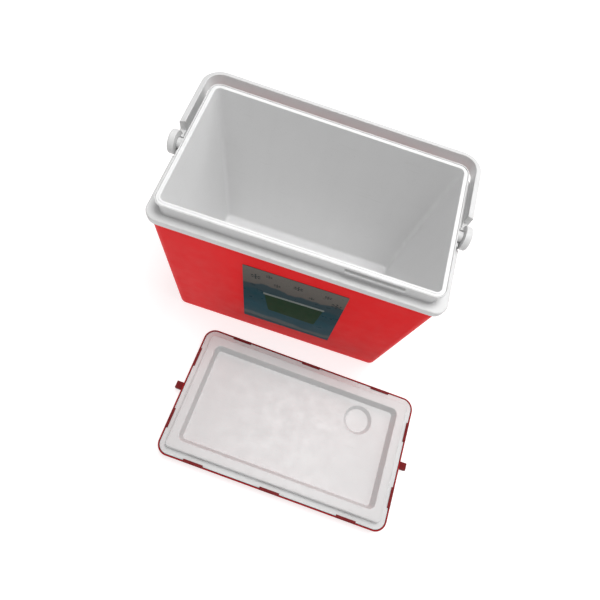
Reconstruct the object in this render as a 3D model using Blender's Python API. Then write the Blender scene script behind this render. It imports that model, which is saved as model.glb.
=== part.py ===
"""Picnic cool box with a bail handle and a loose clip-rimmed lid.

Frame: metres, +Z up, +X to the right, +Y to the back. The origin is the middle of
the flat base that the box stands on. The handle lies folded back, level, and the lid
lies upside down on the floor in front of the box.
"""

from math import atan, cos, hypot, pi, radians, sin, sqrt

import bmesh
import bpy
from mathutils import Matrix, Vector

# ---- box: driving sizes ----------------------------------------------------
FLANGE_LENGTH = 0.409        # rim flange, left to right
FLANGE_WIDTH = 0.2336        # rim flange, front to back
FLANGE_CORNER = 0.0185       # plan radius of the flange corners
END_LEDGE = 0.0045           # how much wider the ledge is at the two ends
CORE_CORNER = 0.024          # plan radius that neck, tub and lid are set in from
FLANGE_TOP = 0.3097          # height of the flange's upper face
FLANGE_LIP = 0.0109          # height of the flange's outer edge
NECK_HEIGHT = 0.026          # upstand above the flange
NECK_STEP = 0.0085           # core's edge to the neck's bead
NECK_SETBACK = 0.0035        # how far the neck's wall lies behind its bead
BEAD_HEIGHT = 0.0040         # height of the bead round the top of the neck
RIM_WIDTH = 0.0079           # neck face to the mouth of the tub
BEAD_WIDTH = 0.0019          # bead's part that stands outside the tub's lip
RIM_SEAT = 0.0022            # depth of the seat that the tub's lip lies in
RIDGE_WIDTH = 0.0028         # raised inner part of the tub's lip
LIP_VALLEY = 0.0009          # depth of the valley between ridge and bead
SHELL_INSET = 0.0050         # flange edge to the top of the red shell
SHELL_TAPER = (0.0070, 0.0100)  # top to bottom, each end wall and each long wall
SHELL_WALL = 0.0022
SHELL_TUCK = 0.0072          # shell edge hidden inside the flange
BASE_ROUND = 0.005
LINER_WALL = 0.0020
TUB_FLOOR = 0.030            # inside floor above the ground
TUB_TAPER = (0.0170, 0.0085)  # mouth to floor, each end wall and each long wall
TUB_FLOOR_ROUND = 0.008
COLLAR_SKIRT = 0.003         # collar's inner skirt below the flange
EDGE = 0.0012                # softened edges of the collar
LIP_ROUND = 0.0006           # softened edges of the tub's lip
LUG_LENGTH = 0.080           # thin lug on the front of the neck
LUG_FROM_END = 0.058         # core's end to the lug
LUG_ABOVE_FLANGE = 0.0130
LUG_THICK = 0.0030
LUG_PROUD = 0.0047           # out from the neck's wall
GAP = 0.0003                 # clearance between touching pieces
CORNER_STEPS = 6             # segments in each plan corner
OVERSHOOT = 0.002            # how far a cutter runs past what it cuts
SINK = 0.001                 # how far a joined-on shape starts inside its piece

# ---- handle ----------------------------------------------------------------
PIVOT_ABOVE_FLANGE = 0.0113  # flange's upper face to the hinge axis
HANDLE_CLEAR = 0.0016        # core's end to the arm's inner face
HANDLE_THICK = 0.0086
HANDLE_DEPTH = 0.020         # strap height while folded
HANDLE_OVERHANG = 0.0220     # flange's rear edge to the outer face of the crossbar
HANDLE_CORNER = 0.030        # outer plan radius of the bail's corners
HANDLE_EDGE = 0.0016         # rounding along the strap
HUB_PROUD = 0.0004           # hub faces stand proud of the arm's
HUB_ROUND = 0.0026
HUB_ROOM = 0.0004            # play round the hub in the flange's pocket
NOTCH_CLEAR = 0.0007         # play round the lid's peg in the lock notch
BOSS_RADIUS = 0.0075         # fixed boss that carries the pin
PIN_RADIUS = 0.0040
PIN_CLEAR = 0.00025
PIN_DEPTH = 0.0020           # pin's bite inboard of the bead's face
PIN_HEAD_RADIUS = 0.0068
PIN_HEAD_THICK = 0.0018
STOP_NIB = 0.0040            # nib on the hub, square
STOP_NIB_RADIUS = 0.0118     # axis to the middle of the nib
STOP_RIB_WIDTH = 0.0060
STOP_RIB_SETBACK = 0.0008    # core's end to the rib's outer end

# ---- lid, in its own frame: outside face down, z up from the floor ----------
LID_SHIFT = 0.0748           # right of the box's middle
LID_AHEAD = 0.0296           # box's flange to the lid's near side
LID_TURN = radians(-1.67)
LID_OVER = 0.0040            # core's edge to the lid's rim
LID_HEIGHT = 0.0276
LID_WALL = 0.0022
LID_TOP = 0.0026             # thickness of the lid's top skin
LID_TOP_ROUND = 0.006
LID_DRAFT = 0.0013
PANEL_WALL = 0.0020
PLUG_CLEAR = 0.0005          # plug to the mouth of the tub
PLUG_HEIGHT = 0.0140
PLUG_DRAFT = 0.0010
PLUG_ROUND = 0.0018
SHOULDER = 0.0150            # flat ring round the tray
TRAY_DEPTH = 0.0176
TRAY_CORNER = 0.010
TRAY_DRAFT = 0.0045
DIMPLE_FROM_TRAY = (0.0596, 0.0359)   # tray's right and rear sides to its middle
DIMPLE_RADIUS = 0.0245
DIMPLE_FLOOR_RADIUS = 0.0198
DIMPLE_DEPTH = 0.0075
CLIP_LENGTH = 0.033
CLIP_COVER = 0.0052          # lid edge to the clip's inner edge
CLIP_BAR = 0.0017            # thickness of the bar that hooks over
CLIP_LEG = 0.0016
CLIP_DROP = 0.0085
CLIP_FROM_END = 0.0655       # lid's end to the outer clips' middles
CLIP_FROM_SIDE = 0.0576      # lid's long side to the end clips' middles
PEG_WIDTH = 0.0126
PEG_HEIGHT = 0.0105
PEG_REACH = 0.0120           # how far a peg stands out of the lid's side
PEG_BELOW_RIM = 0.0078       # rim to the peg's middle
PEG_EDGE = 0.0008            # softened edges of the pegs

# ---- label -------------------------------------------------------------------
LABEL_WIDTH = 0.155
LABEL_HEIGHT = 0.206
LABEL_THICK = 0.0004
LABEL_SHIFT = 0.0106         # right of the middle
LABEL_DROP = 0.1425          # flange's underside down to its middle
LABEL_TILT = radians(1.5)    # stuck on slightly askew, right side high

HALF_X = FLANGE_LENGTH / 2
HALF_Y = FLANGE_WIDTH / 2
CORE_X = HALF_X - END_LEDGE
FLANGE_BOTTOM = FLANGE_TOP - FLANGE_LIP
RIM_TOP = FLANGE_TOP + NECK_HEIGHT
SHELL_TOP = FLANGE_BOTTOM + SHELL_TUCK
LABEL_MIDDLE = FLANGE_BOTTOM - LABEL_DROP
NECK_FACE = CORE_X - NECK_STEP
NECK_BASE = NECK_FACE - NECK_SETBACK
MOUTH_INSET = NECK_STEP + RIM_WIDTH
ARM_INNER = CORE_X + HANDLE_CLEAR
ARM_OUTER = ARM_INNER + HANDLE_THICK
HUB_INNER = ARM_INNER - HUB_PROUD
HUB_OUTER = ARM_OUTER + HUB_PROUD
PIVOT_HEIGHT = FLANGE_TOP + PIVOT_ABOVE_FLANGE
HANDLE_REACH = HALF_Y + HANDLE_OVERHANG

# With the lid on and the handle upright, each peg lies in its notch over the hub.
PEG_ABOVE_PIVOT = RIM_TOP + PEG_BELOW_RIM - PIVOT_HEIGHT
HUB_RADIUS = PEG_ABOVE_PIVOT - PEG_HEIGHT / 2 - NOTCH_CLEAR
NOTCH_END = hypot(PEG_WIDTH / 2, PEG_ABOVE_PIVOT + PEG_HEIGHT / 2) + NOTCH_CLEAR
NOTCH_FLOOR = HANDLE_DEPTH / 2 - PEG_WIDTH / 2 - NOTCH_CLEAR   # strap under the notch

# Each hub dips below the flange's upper face, so the flange has a pocket for it.
POCKET_FLOOR = PIVOT_HEIGHT - HUB_RADIUS - 2 * HUB_ROOM
POCKET_HALF = sqrt(max(HUB_RADIUS ** 2 - PIVOT_ABOVE_FLANGE ** 2, 0.0)) + 5 * HUB_ROOM


# ---- helpers -------------------------------------------------------------------
def clear_scene():
    """Remove whatever the file holds."""
    for item in list(bpy.data.objects):
        bpy.data.objects.remove(item, do_unlink=True)


def material(name, colour, roughness, metallic=0.0):
    """A plain Principled material."""
    mat = bpy.data.materials.new(name)
    mat.use_nodes = True
    shader = mat.node_tree.nodes["Principled BSDF"]
    shader.inputs["Base Color"].default_value = (*colour, 1.0)
    shader.inputs["Roughness"].default_value = roughness
    shader.inputs["Metallic"].default_value = metallic
    return mat


def finish(bm, name, mat, parent=None):
    """Turn a bmesh into a named object with outward faces."""
    bmesh.ops.recalc_face_normals(bm, faces=bm.faces[:])
    if bm.calc_volume(signed=True) < 0:
        bmesh.ops.reverse_faces(bm, faces=bm.faces[:])
    mesh = bpy.data.meshes.new(name)
    bm.to_mesh(mesh)
    bm.free()
    mesh.shade_smooth()
    mesh.set_sharp_from_angle(angle=radians(35))
    obj = bpy.data.objects.new(name, mesh)
    bpy.context.scene.collection.objects.link(obj)
    if mat is not None:
        mesh.materials.append(mat)
    obj.parent = parent
    return obj


def cutter(bm, name, parent=None):
    """An object that only cuts or joins; it is left out of the model."""
    obj = finish(bm, name, None, parent)
    obj.hide_render = True
    obj.display_type = "WIRE"
    return obj


def boolean(obj, tool, operation):
    """Add one exact Boolean with its cutter."""
    mod = obj.modifiers.new(tool.name, "BOOLEAN")
    mod.operation = operation
    mod.solver = "EXACT"
    mod.object = tool
    return mod


def ring(bm, half_x, half_y, radius, z):
    """The points of one rounded rectangle at height z, anticlockwise."""
    radius = max(radius, 0.001)
    verts = []
    corners = ((1, 1, 0), (-1, 1, 1), (-1, -1, 2), (1, -1, 3))
    for side_x, side_y, quarter in corners:
        centre = Vector((side_x * (half_x - radius), side_y * (half_y - radius), z))
        for step in range(CORNER_STEPS + 1):
            angle = (quarter + step / CORNER_STEPS) * pi / 2
            verts.append(bm.verts.new(centre + Vector((cos(angle), sin(angle), 0)) * radius))
    return verts


def inset_ring(bm, size, inset, z, lean=(0.0, 0.0)):
    """A ring set in from a (half_x, half_y, corner radius) outline.

    The inset is a wall's thickness, so it tightens the corners; the lean is the
    draft of the end walls and the long walls, so it leaves them.
    """
    half_x, half_y, radius = size
    lean_x, lean_y = lean
    return ring(bm, half_x - inset - lean_x, half_y - inset - lean_y, radius - inset, z)


def skin(bm, loops, closed=False):
    """Quads between consecutive rings; closed also joins the last to the first."""
    pairs = list(zip(loops[:-1], loops[1:]))
    if closed:
        pairs.append((loops[-1], loops[0]))
    for first, second in pairs:
        for i in range(len(first)):
            bm.faces.new((first[i - 1], first[i], second[i], second[i - 1]))


def stacked(*groups):
    """A closed body through (outline, levels) groups, capped at both ends.

    Each level is (inset, z) or (inset, z, lean) from its group's outline.
    """
    bm = bmesh.new()
    loops = [inset_ring(bm, size, *level) for size, levels in groups for level in levels]
    skin(bm, loops)
    bm.faces.new(loops[0][::-1])
    bm.faces.new(loops[-1])
    return bm


def swept(*groups):
    """A closed ring body through (outline, profile) groups of (inset, z) points."""
    bm = bmesh.new()
    loops = [inset_ring(bm, size, *point) for size, profile in groups for point in profile]
    skin(bm, loops, closed=True)
    return bm


def add_box(bm, low, high):
    """Add an axis-aligned box between two corners."""
    low, high = Vector(low), Vector(high)
    scale = Matrix.Diagonal((*(high - low), 1.0))
    bmesh.ops.create_cube(bm, size=1.0, matrix=Matrix.Translation((low + high) / 2) @ scale)


def box(low, high):
    """One box as a bmesh."""
    bm = bmesh.new()
    add_box(bm, low, high)
    return bm


def add_drum(bm, x_from, x_to, radius, at, steps=32, rounding=0.0):
    """Add a drum along X about the (y, z) point at; its outboard rim may be rounded."""
    near, far = min(x_from, x_to), max(x_from, x_to)
    turn = Matrix.Rotation(pi / 2, 4, "Y")
    place = Matrix.Translation(((near + far) / 2, at[0], at[1]))
    made = bmesh.ops.create_cone(bm, cap_ends=True, segments=steps, depth=far - near,
                                 radius1=radius, radius2=radius, matrix=place @ turn)
    if rounding > 0:
        outboard = max(abs(near), abs(far))
        rim = {edge for vert in made["verts"] for edge in vert.link_edges
               if all(abs(abs(end.co.x) - outboard) < 1e-6 for end in edge.verts)}
        bmesh.ops.bevel(bm, geom=list(rim), offset=rounding, offset_type="OFFSET",
                        segments=3, profile=0.5, affect="EDGES")


def add_cone(bm, centre, low, high, low_radius, high_radius, steps=40):
    """Add an upright cone frustum."""
    place = Matrix.Translation((centre[0], centre[1], (low + high) / 2))
    bmesh.ops.create_cone(bm, cap_ends=True, segments=steps, depth=high - low,
                          radius1=low_radius, radius2=high_radius, matrix=place)


# ---- outlines that the pieces share ------------------------------------------
def set_in(outline, inset):
    """An outline set in from another, with concentric corners."""
    return tuple(size - inset for size in outline)


FLANGE = (HALF_X, HALF_Y, FLANGE_CORNER)
CORE = (CORE_X, HALF_Y, CORE_CORNER)
SHELL = set_in(FLANGE, SHELL_INSET)
MOUTH = set_in(CORE, MOUTH_INSET)
LID = set_in(CORE, LID_OVER)
LID_CENTRE = (LID_SHIFT, -(HALF_Y + LID_AHEAD + LID[1]))


def shell_lean(z):
    """How far the shell's outer faces have leaned in at height z."""
    share = (FLANGE_BOTTOM - z) / FLANGE_BOTTOM
    return (SHELL_TAPER[0] * share, SHELL_TAPER[1] * share)


def tub_lean(z):
    """How far the tub's inner faces have leaned in at height z."""
    share = (RIM_TOP - z) / (RIM_TOP - TUB_FLOOR)
    return (TUB_TAPER[0] * share, TUB_TAPER[1] * share)


# ---- box pieces ----------------------------------------------------------------
def make_outer_shell(mat):
    """Tapered coloured bucket that stands on the ground."""
    floor = SHELL_WALL
    lean, wall = shell_lean, SHELL_WALL
    round_lean = BASE_ROUND * (1 - cos(pi / 4))
    levels = [
        (BASE_ROUND, 0.0, lean(0)),
        (round_lean, BASE_ROUND - BASE_ROUND * sin(pi / 4), lean(0)),
        (0.0, BASE_ROUND, lean(BASE_ROUND)),
        (0.0, FLANGE_BOTTOM),
        (0.0, SHELL_TOP),
        (wall, SHELL_TOP),
        (wall, FLANGE_BOTTOM),
        (wall, BASE_ROUND, lean(BASE_ROUND)),
        (BASE_ROUND, floor, lean(0)),
    ]
    return finish(stacked((SHELL, levels)), "outer_shell", mat)


def make_body_foam(mat):
    """Insulating block, one moulding, between shell and tub."""
    outer = SHELL_WALL + GAP
    inner = -LINER_WALL - GAP
    top = FLANGE_BOTTOM - COLLAR_SKIRT - SINK
    under_tub = TUB_FLOOR - LINER_WALL - GAP
    corner = TUB_FLOOR + TUB_FLOOR_ROUND
    outside = [
        (BASE_ROUND + GAP, SHELL_WALL + GAP, shell_lean(0)),
        (outer, BASE_ROUND + GAP, shell_lean(BASE_ROUND)),
        (outer, top, shell_lean(top)),
    ]
    hollow = [
        (inner, top, tub_lean(top)),
        (inner, corner, tub_lean(corner)),
        (inner + TUB_FLOOR_ROUND * 0.45, under_tub, tub_lean(TUB_FLOOR)),
    ]
    return finish(stacked((SHELL, outside), (MOUTH, hollow)), "body_foam", mat)


def make_inner_liner(mat):
    """White tub whose lip lies in the seat on top of the neck."""
    wall = LINER_WALL
    lip_out = RIM_WIDTH - BEAD_WIDTH - GAP
    lip_under = RIM_TOP - RIM_SEAT + GAP
    corner = TUB_FLOOR + TUB_FLOOR_ROUND
    half_round = TUB_FLOOR_ROUND * (1 - cos(pi / 4))
    floor_lean = tub_lean(TUB_FLOOR)
    levels = [
        (TUB_FLOOR_ROUND - wall * 0.6, TUB_FLOOR - wall, floor_lean),
        (half_round - wall * 0.7, TUB_FLOOR + half_round - wall * 0.7, floor_lean),
        (-wall, corner, tub_lean(corner)),
        (-wall, lip_under, tub_lean(lip_under)),
        (-lip_out, lip_under),
        (-lip_out, RIM_TOP - LIP_VALLEY),
        (-RIDGE_WIDTH, RIM_TOP - LIP_VALLEY),
        (-RIDGE_WIDTH + LIP_ROUND, RIM_TOP),
        (-LIP_ROUND, RIM_TOP),
        (0.0, RIM_TOP - LIP_ROUND),
        (0.0, corner, tub_lean(corner)),
        (half_round, TUB_FLOOR + half_round, floor_lean),
        (TUB_FLOOR_ROUND, TUB_FLOOR, floor_lean),
    ]
    return finish(stacked((MOUTH, levels)), "inner_liner", mat)


def make_rim_collar(mat):
    """White collar: flange over the shell's edge, upstanding neck, handle bosses."""
    lip_in = SHELL_INSET - GAP
    groove_in = SHELL_INSET + SHELL_WALL + GAP
    groove_top = SHELL_TOP + GAP
    neck_in = MOUTH_INSET - LINER_WALL - GAP
    neck_wall = NECK_STEP + NECK_SETBACK
    bead_low = RIM_TOP - BEAD_HEIGHT
    seat = RIM_TOP - RIM_SEAT
    skirt = FLANGE_BOTTOM - COLLAR_SKIRT
    edge = [
        (0.0, FLANGE_BOTTOM + EDGE / 2),
        (0.0, FLANGE_TOP - EDGE),
        (EDGE, FLANGE_TOP),
    ]
    neck = [
        (neck_wall, FLANGE_TOP),
        (neck_wall, bead_low - EDGE),
        (neck_wall - EDGE, bead_low),
        (NECK_STEP + EDGE / 2, bead_low),
        (NECK_STEP, bead_low + EDGE / 2),
        (NECK_STEP, RIM_TOP - EDGE / 2),
        (NECK_STEP + EDGE / 2, RIM_TOP),
        (NECK_STEP + BEAD_WIDTH, RIM_TOP),
        (NECK_STEP + BEAD_WIDTH, seat),
        (neck_in, seat),
        (neck_in, skirt),
    ]
    underside = [
        (groove_in, skirt),
        (groove_in, groove_top),
        (lip_in, groove_top),
        (lip_in, FLANGE_BOTTOM),
        (EDGE / 2, FLANGE_BOTTOM),
    ]
    body = swept((FLANGE, edge), (CORE, neck), (FLANGE, underside))
    collar = finish(body, "rim_collar", mat)
    boss_end = HUB_INNER - GAP
    at = (0.0, PIVOT_HEIGHT)
    rib_top = PIVOT_HEIGHT - STOP_NIB / 2 - GAP
    extras = bmesh.new()
    for side in (-1, 1):
        add_drum(extras, side * (NECK_BASE - SINK), side * boss_end, BOSS_RADIUS, at)
    boolean(collar, cutter(extras, "collar_bosses"), "UNION")
    ribs = bmesh.new()
    for side in (-1, 1):
        near, far = sorted((side * (NECK_BASE - SINK), side * (CORE_X - STOP_RIB_SETBACK)))
        for reach in (-1, 1):
            middle = reach * STOP_NIB_RADIUS
            add_box(ribs, (near, middle - STOP_RIB_WIDTH / 2, FLANGE_TOP - SINK),
                    (far, middle + STOP_RIB_WIDTH / 2, rib_top))
    boolean(collar, cutter(ribs, "collar_stop_ribs"), "UNION")
    lug_end = CORE_X - LUG_FROM_END
    lug_low = FLANGE_TOP + LUG_ABOVE_FLANGE
    neck_front = HALF_Y - NECK_STEP - NECK_SETBACK
    lug = box((lug_end - LUG_LENGTH, -(neck_front + LUG_PROUD), lug_low),
              (lug_end, -(neck_front - SINK), lug_low + LUG_THICK))
    boolean(collar, cutter(lug, "collar_front_lug"), "UNION")
    holes = bmesh.new()
    for side in (-1, 1):
        add_drum(holes, side * (NECK_FACE - PIN_DEPTH - GAP), side * (boss_end + OVERSHOOT),
                 PIN_RADIUS + PIN_CLEAR, at)
    boolean(collar, cutter(holes, "collar_pin_holes"), "DIFFERENCE")
    pockets = bmesh.new()
    for side in (-1, 1):
        near, far = sorted((side * (HUB_INNER - HUB_ROOM), side * (HALF_X + OVERSHOOT)))
        add_box(pockets, (near, -POCKET_HALF, POCKET_FLOOR),
                (far, POCKET_HALF, FLANGE_TOP + OVERSHOOT))
    boolean(collar, cutter(pockets, "collar_hub_pockets"), "DIFFERENCE")
    return collar


def make_pivot_pin(name, side, mat):
    """Headed pin that carries one hub of the handle."""
    at = (0.0, PIVOT_HEIGHT)
    pin = bmesh.new()
    add_drum(pin, side * (NECK_FACE - PIN_DEPTH), side * (HUB_OUTER + SINK), PIN_RADIUS, at)
    obj = finish(pin, name, mat)
    head_from = HUB_OUTER + GAP
    head = bmesh.new()
    add_drum(head, side * head_from, side * (head_from + PIN_HEAD_THICK), PIN_HEAD_RADIUS, at,
             rounding=PIN_HEAD_THICK * 0.7)
    boolean(obj, cutter(head, name + "_head"), "UNION")
    return obj


# ---- handle --------------------------------------------------------------------
def bail_outline(inset):
    """Plan points of the bail, hub to hub, set in from its outer face."""
    half, reach, radius = ARM_OUTER - inset, HANDLE_REACH - inset, HANDLE_CORNER - inset
    points = [Vector((half, 0.0, 0.0))]
    steps = 8
    for centre_x, start in ((half - radius, 0.0), (radius - half, pi / 2)):
        for step in range(steps + 1):
            angle = start + pi / 2 * step / steps
            points.append(Vector((centre_x + radius * cos(angle),
                                  reach - radius + radius * sin(angle), 0.0)))
    points.append(Vector((-half, 0.0, 0.0)))
    return points


def make_handle(mat, hinge):
    """Bail handle lying folded back; its notches take the lid's pegs."""
    half_depth = HANDLE_DEPTH / 2
    bm = bmesh.new()
    outline = bail_outline(0.0) + bail_outline(HANDLE_THICK)[::-1]
    verts = [bm.verts.new(point + Vector((0, 0, -half_depth))) for point in outline]
    face = bm.faces.new(verts)
    raised = bmesh.ops.extrude_face_region(bm, geom=[face])
    top = [item for item in raised["geom"] if isinstance(item, bmesh.types.BMVert)]
    bmesh.ops.translate(bm, verts=top, vec=(0, 0, HANDLE_DEPTH))
    bmesh.ops.recalc_face_normals(bm, faces=bm.faces[:])
    long_edges = [edge for edge in bm.edges
                  if abs(edge.verts[0].co.z - edge.verts[1].co.z) < 1e-6
                  and max(vert.co.y for vert in edge.verts) > 1e-6]
    bmesh.ops.bevel(bm, geom=long_edges, offset=HANDLE_EDGE, offset_type="OFFSET",
                    segments=2, profile=0.5, affect="EDGES")
    handle = finish(bm, "handle", mat, hinge)
    notches = bmesh.new()
    for side in (-1, 1):
        low, high = sorted((side * (ARM_INNER - OVERSHOOT), side * (ARM_OUTER + OVERSHOOT)))
        add_box(notches, (low, -OVERSHOOT, NOTCH_FLOOR - half_depth),
                (high, NOTCH_END, half_depth + OVERSHOOT))
    boolean(handle, cutter(notches, "handle_notches", hinge), "DIFFERENCE")
    hubs = bmesh.new()
    for side in (-1, 1):
        add_drum(hubs, side * HUB_INNER, side * HUB_OUTER, HUB_RADIUS, (0, 0), 40, HUB_ROUND)
    boolean(handle, cutter(hubs, "handle_hubs", hinge), "UNION")
    nibs = bmesh.new()
    for side in (-1, 1):
        low, high = sorted((side * (HUB_INNER - STOP_NIB), side * (HUB_INNER + SINK)))
        add_box(nibs, (low, STOP_NIB_RADIUS - STOP_NIB / 2, -STOP_NIB / 2),
                (high, STOP_NIB_RADIUS + STOP_NIB / 2, STOP_NIB / 2))
    boolean(handle, cutter(nibs, "handle_stop_nibs", hinge), "UNION")
    bores = bmesh.new()
    for side in (-1, 1):
        add_drum(bores, side * (ARM_INNER - OVERSHOOT), side * (ARM_OUTER + OVERSHOOT),
                 PIN_RADIUS + PIN_CLEAR, (0, 0))
    boolean(handle, cutter(bores, "handle_bores", hinge), "DIFFERENCE")
    return handle


# ---- lid -----------------------------------------------------------------------
def clip_places():
    """Name, centre along the side, and turn of each clip round the lid."""
    pitch = LID[0] - CLIP_FROM_END
    offset = LID[1] - CLIP_FROM_SIDE
    places = []
    for label, turn in (("rear", 0.0), ("front", pi)):
        for count, along in enumerate((-pitch, 0.0, pitch), start=1):
            places.append((f"lid_clip_{label}_{count}", along, LID[1], turn))
    for label, turn in (("left", pi / 2), ("right", -pi / 2)):
        for count, along in enumerate((-offset, offset), start=1):
            places.append((f"lid_clip_{label}_{count}", along, LID[0], turn))
    return places


def clip_matrix(along, edge, turn):
    """Matrix from a clip's own frame (outer edge at y = 0) to the lid."""
    return Matrix.Rotation(turn, 4, "Z") @ Matrix.Translation((along, edge, 0.0))


def lid_lean(z):
    """How far the lid's sides have leaned in at height z."""
    lean = LID_DRAFT * (LID_HEIGHT - z) / (LID_HEIGHT - LID_TOP_ROUND)
    return (lean, lean)


CLIP_FOOT = LID_HEIGHT + GAP - CLIP_DROP
LEG_OUT = LID_WALL + lid_lean(CLIP_FOOT)[1] + GAP   # lid edge to the leg's outer face
LEG_IN = LEG_OUT + CLIP_LEG


def make_clip(name, along, edge, turn, mat, lid):
    """Hooked clip that holds the panel's edge under the lid's rim."""
    half = CLIP_LENGTH / 2
    bar_low = LID_HEIGHT + GAP
    profile = [
        (-0.0004, bar_low), (-0.0004, bar_low + CLIP_BAR * 0.6), (-0.0010, bar_low + CLIP_BAR),
        (-CLIP_COVER + 0.0004, bar_low + CLIP_BAR), (-CLIP_COVER, bar_low + CLIP_BAR * 0.6),
        (-CLIP_COVER, bar_low), (-LEG_IN, bar_low), (-LEG_IN, bar_low - CLIP_DROP),
        (-LEG_OUT, bar_low - CLIP_DROP), (-LEG_OUT, bar_low),
    ]
    bm = bmesh.new()
    verts = [bm.verts.new((-half, y, z)) for y, z in profile]
    face = bm.faces.new(verts)
    pulled = bmesh.ops.extrude_face_region(bm, geom=[face])
    far = [item for item in pulled["geom"] if isinstance(item, bmesh.types.BMVert)]
    bmesh.ops.translate(bm, verts=far, vec=(CLIP_LENGTH, 0, 0))
    obj = finish(bm, name, mat, lid)
    obj.matrix_local = clip_matrix(along, edge, turn)
    return obj


def make_lid_shell(mat, lid):
    """Coloured outer skin of the lid, outside face on the floor."""
    wall, top = LID_WALL, LID_TOP
    half_round = LID_TOP_ROUND * (1 - cos(pi / 4))
    low_lean = lid_lean(LID_TOP_ROUND)
    rim_round = 0.0004
    levels = [
        (LID_TOP_ROUND, 0.0, low_lean),
        (half_round, half_round, low_lean),
        (0.0, LID_TOP_ROUND, low_lean),
        (0.0, LID_HEIGHT - rim_round),
        (rim_round, LID_HEIGHT),
        (wall, LID_HEIGHT),
        (wall, LID_TOP_ROUND, low_lean),
        (LID_TOP_ROUND, top, low_lean),
    ]
    shell = finish(stacked((LID, levels)), "lid_shell", mat, lid)
    middle = LID_HEIGHT - PEG_BELOW_RIM
    windows = bmesh.new()
    for side in (-1, 1):
        low, high = sorted((side * (LID[0] - LID_WALL - OVERSHOOT),
                            side * (LID[0] + OVERSHOOT)))
        add_box(windows, (low, -PEG_WIDTH / 2 - GAP, middle - PEG_HEIGHT / 2 - GAP),
                (high, PEG_WIDTH / 2 + GAP, middle + PEG_HEIGHT / 2 + GAP))
    boolean(shell, cutter(windows, "lid_peg_windows", lid), "DIFFERENCE")
    return shell


def make_peg(name, side, mat, lid):
    """Square lock peg in the side of the lid."""
    middle = LID_HEIGHT - PEG_BELOW_RIM
    root = LID[0] - LID_WALL
    low, high = sorted((side * root, side * (LID[0] + PEG_REACH)))
    bm = box((low, -PEG_WIDTH / 2, middle - PEG_HEIGHT / 2),
             (high, PEG_WIDTH / 2, middle + PEG_HEIGHT / 2))
    outer = [edge for edge in bm.edges
             if all(abs(vert.co.x) > LID[0] for vert in edge.verts)]
    bmesh.ops.bevel(bm, geom=outer, offset=PEG_EDGE, offset_type="OFFSET", segments=2,
                    profile=0.5, affect="EDGES")
    return finish(bm, name, mat, lid)


PANEL_EDGE = LID_WALL + GAP + 0.0003     # lid edge to panel edge
PLUG_FROM_LID = MOUTH_INSET + PLUG_CLEAR - LID_OVER
SHOULDER_TOP = LID_HEIGHT + PLUG_HEIGHT
TRAY_FLOOR = SHOULDER_TOP - TRAY_DEPTH
TRAY_FROM_LID = PLUG_FROM_LID + PLUG_DRAFT + SHOULDER
TRAY = (LID[0] - TRAY_FROM_LID, LID[1] - TRAY_FROM_LID, TRAY_CORNER)
DIMPLE_AT = (TRAY[0] - DIMPLE_FROM_TRAY[0], TRAY[1] - DIMPLE_FROM_TRAY[1])
PANEL_BELOW_RIM = 0.0002     # lid's rim down to the panel's edge band
PANEL_TOP = LID_HEIGHT - PANEL_BELOW_RIM


def make_lid_panel(mat, lid):
    """White inner panel: edge band, raised plug, tray and round dimple."""
    wall = PANEL_WALL
    foot = PLUG_FROM_LID
    crown = foot + PLUG_DRAFT
    upper = PANEL_TOP
    under = upper - wall
    rounding = PLUG_ROUND * 0.3
    below_tray = [
        (TRAY_DRAFT - wall * 0.3, TRAY_FLOOR - wall),
        (-wall, SHOULDER_TOP - wall),
    ]
    outside = [
        (crown + wall, SHOULDER_TOP - wall),
        (foot + wall, under),
        (PANEL_EDGE, under),
        (PANEL_EDGE, upper),
        (foot, upper),
        (crown, SHOULDER_TOP - PLUG_ROUND),
        (crown + rounding, SHOULDER_TOP - rounding),
        (crown + PLUG_ROUND, SHOULDER_TOP),
    ]
    tray = [
        (-PLUG_ROUND, SHOULDER_TOP),
        (-rounding, SHOULDER_TOP - rounding),
        (0.0004, SHOULDER_TOP - PLUG_ROUND),
        (TRAY_DRAFT - 0.0006, TRAY_FLOOR + 0.0014),
        (TRAY_DRAFT + 0.0008, TRAY_FLOOR),
    ]
    body = stacked((TRAY, below_tray), (LID, outside), (TRAY, tray))
    panel = finish(body, "lid_panel", mat, lid)
    notches = bmesh.new()
    half = CLIP_LENGTH / 2 + GAP
    for _, along, edge, turn in clip_places():
        slot = box((-half, -LEG_IN - GAP, under - OVERSHOOT), (half, 0.0, upper + OVERSHOOT))
        bmesh.ops.transform(slot, matrix=clip_matrix(along, edge, turn), verts=slot.verts[:])
        mesh = bpy.data.meshes.new("slot")
        slot.to_mesh(mesh)
        slot.free()
        notches.from_mesh(mesh)
        bpy.data.meshes.remove(mesh)
    boolean(panel, cutter(notches, "panel_clip_notches", lid), "DIFFERENCE")
    cup_low = TRAY_FLOOR - DIMPLE_DEPTH - wall
    cup = bmesh.new()
    add_cone(cup, DIMPLE_AT, cup_low, TRAY_FLOOR - wall / 2,
             DIMPLE_FLOOR_RADIUS + wall, DIMPLE_RADIUS + wall)
    boolean(panel, cutter(cup, "panel_dimple_cup", lid), "UNION")
    hollow = bmesh.new()
    slope = (DIMPLE_RADIUS - DIMPLE_FLOOR_RADIUS) / DIMPLE_DEPTH
    add_cone(hollow, DIMPLE_AT, TRAY_FLOOR - DIMPLE_DEPTH, TRAY_FLOOR + OVERSHOOT,
             DIMPLE_FLOOR_RADIUS, DIMPLE_RADIUS + slope * OVERSHOOT)
    boolean(panel, cutter(hollow, "panel_dimple_hollow", lid), "DIFFERENCE")
    return panel


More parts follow.
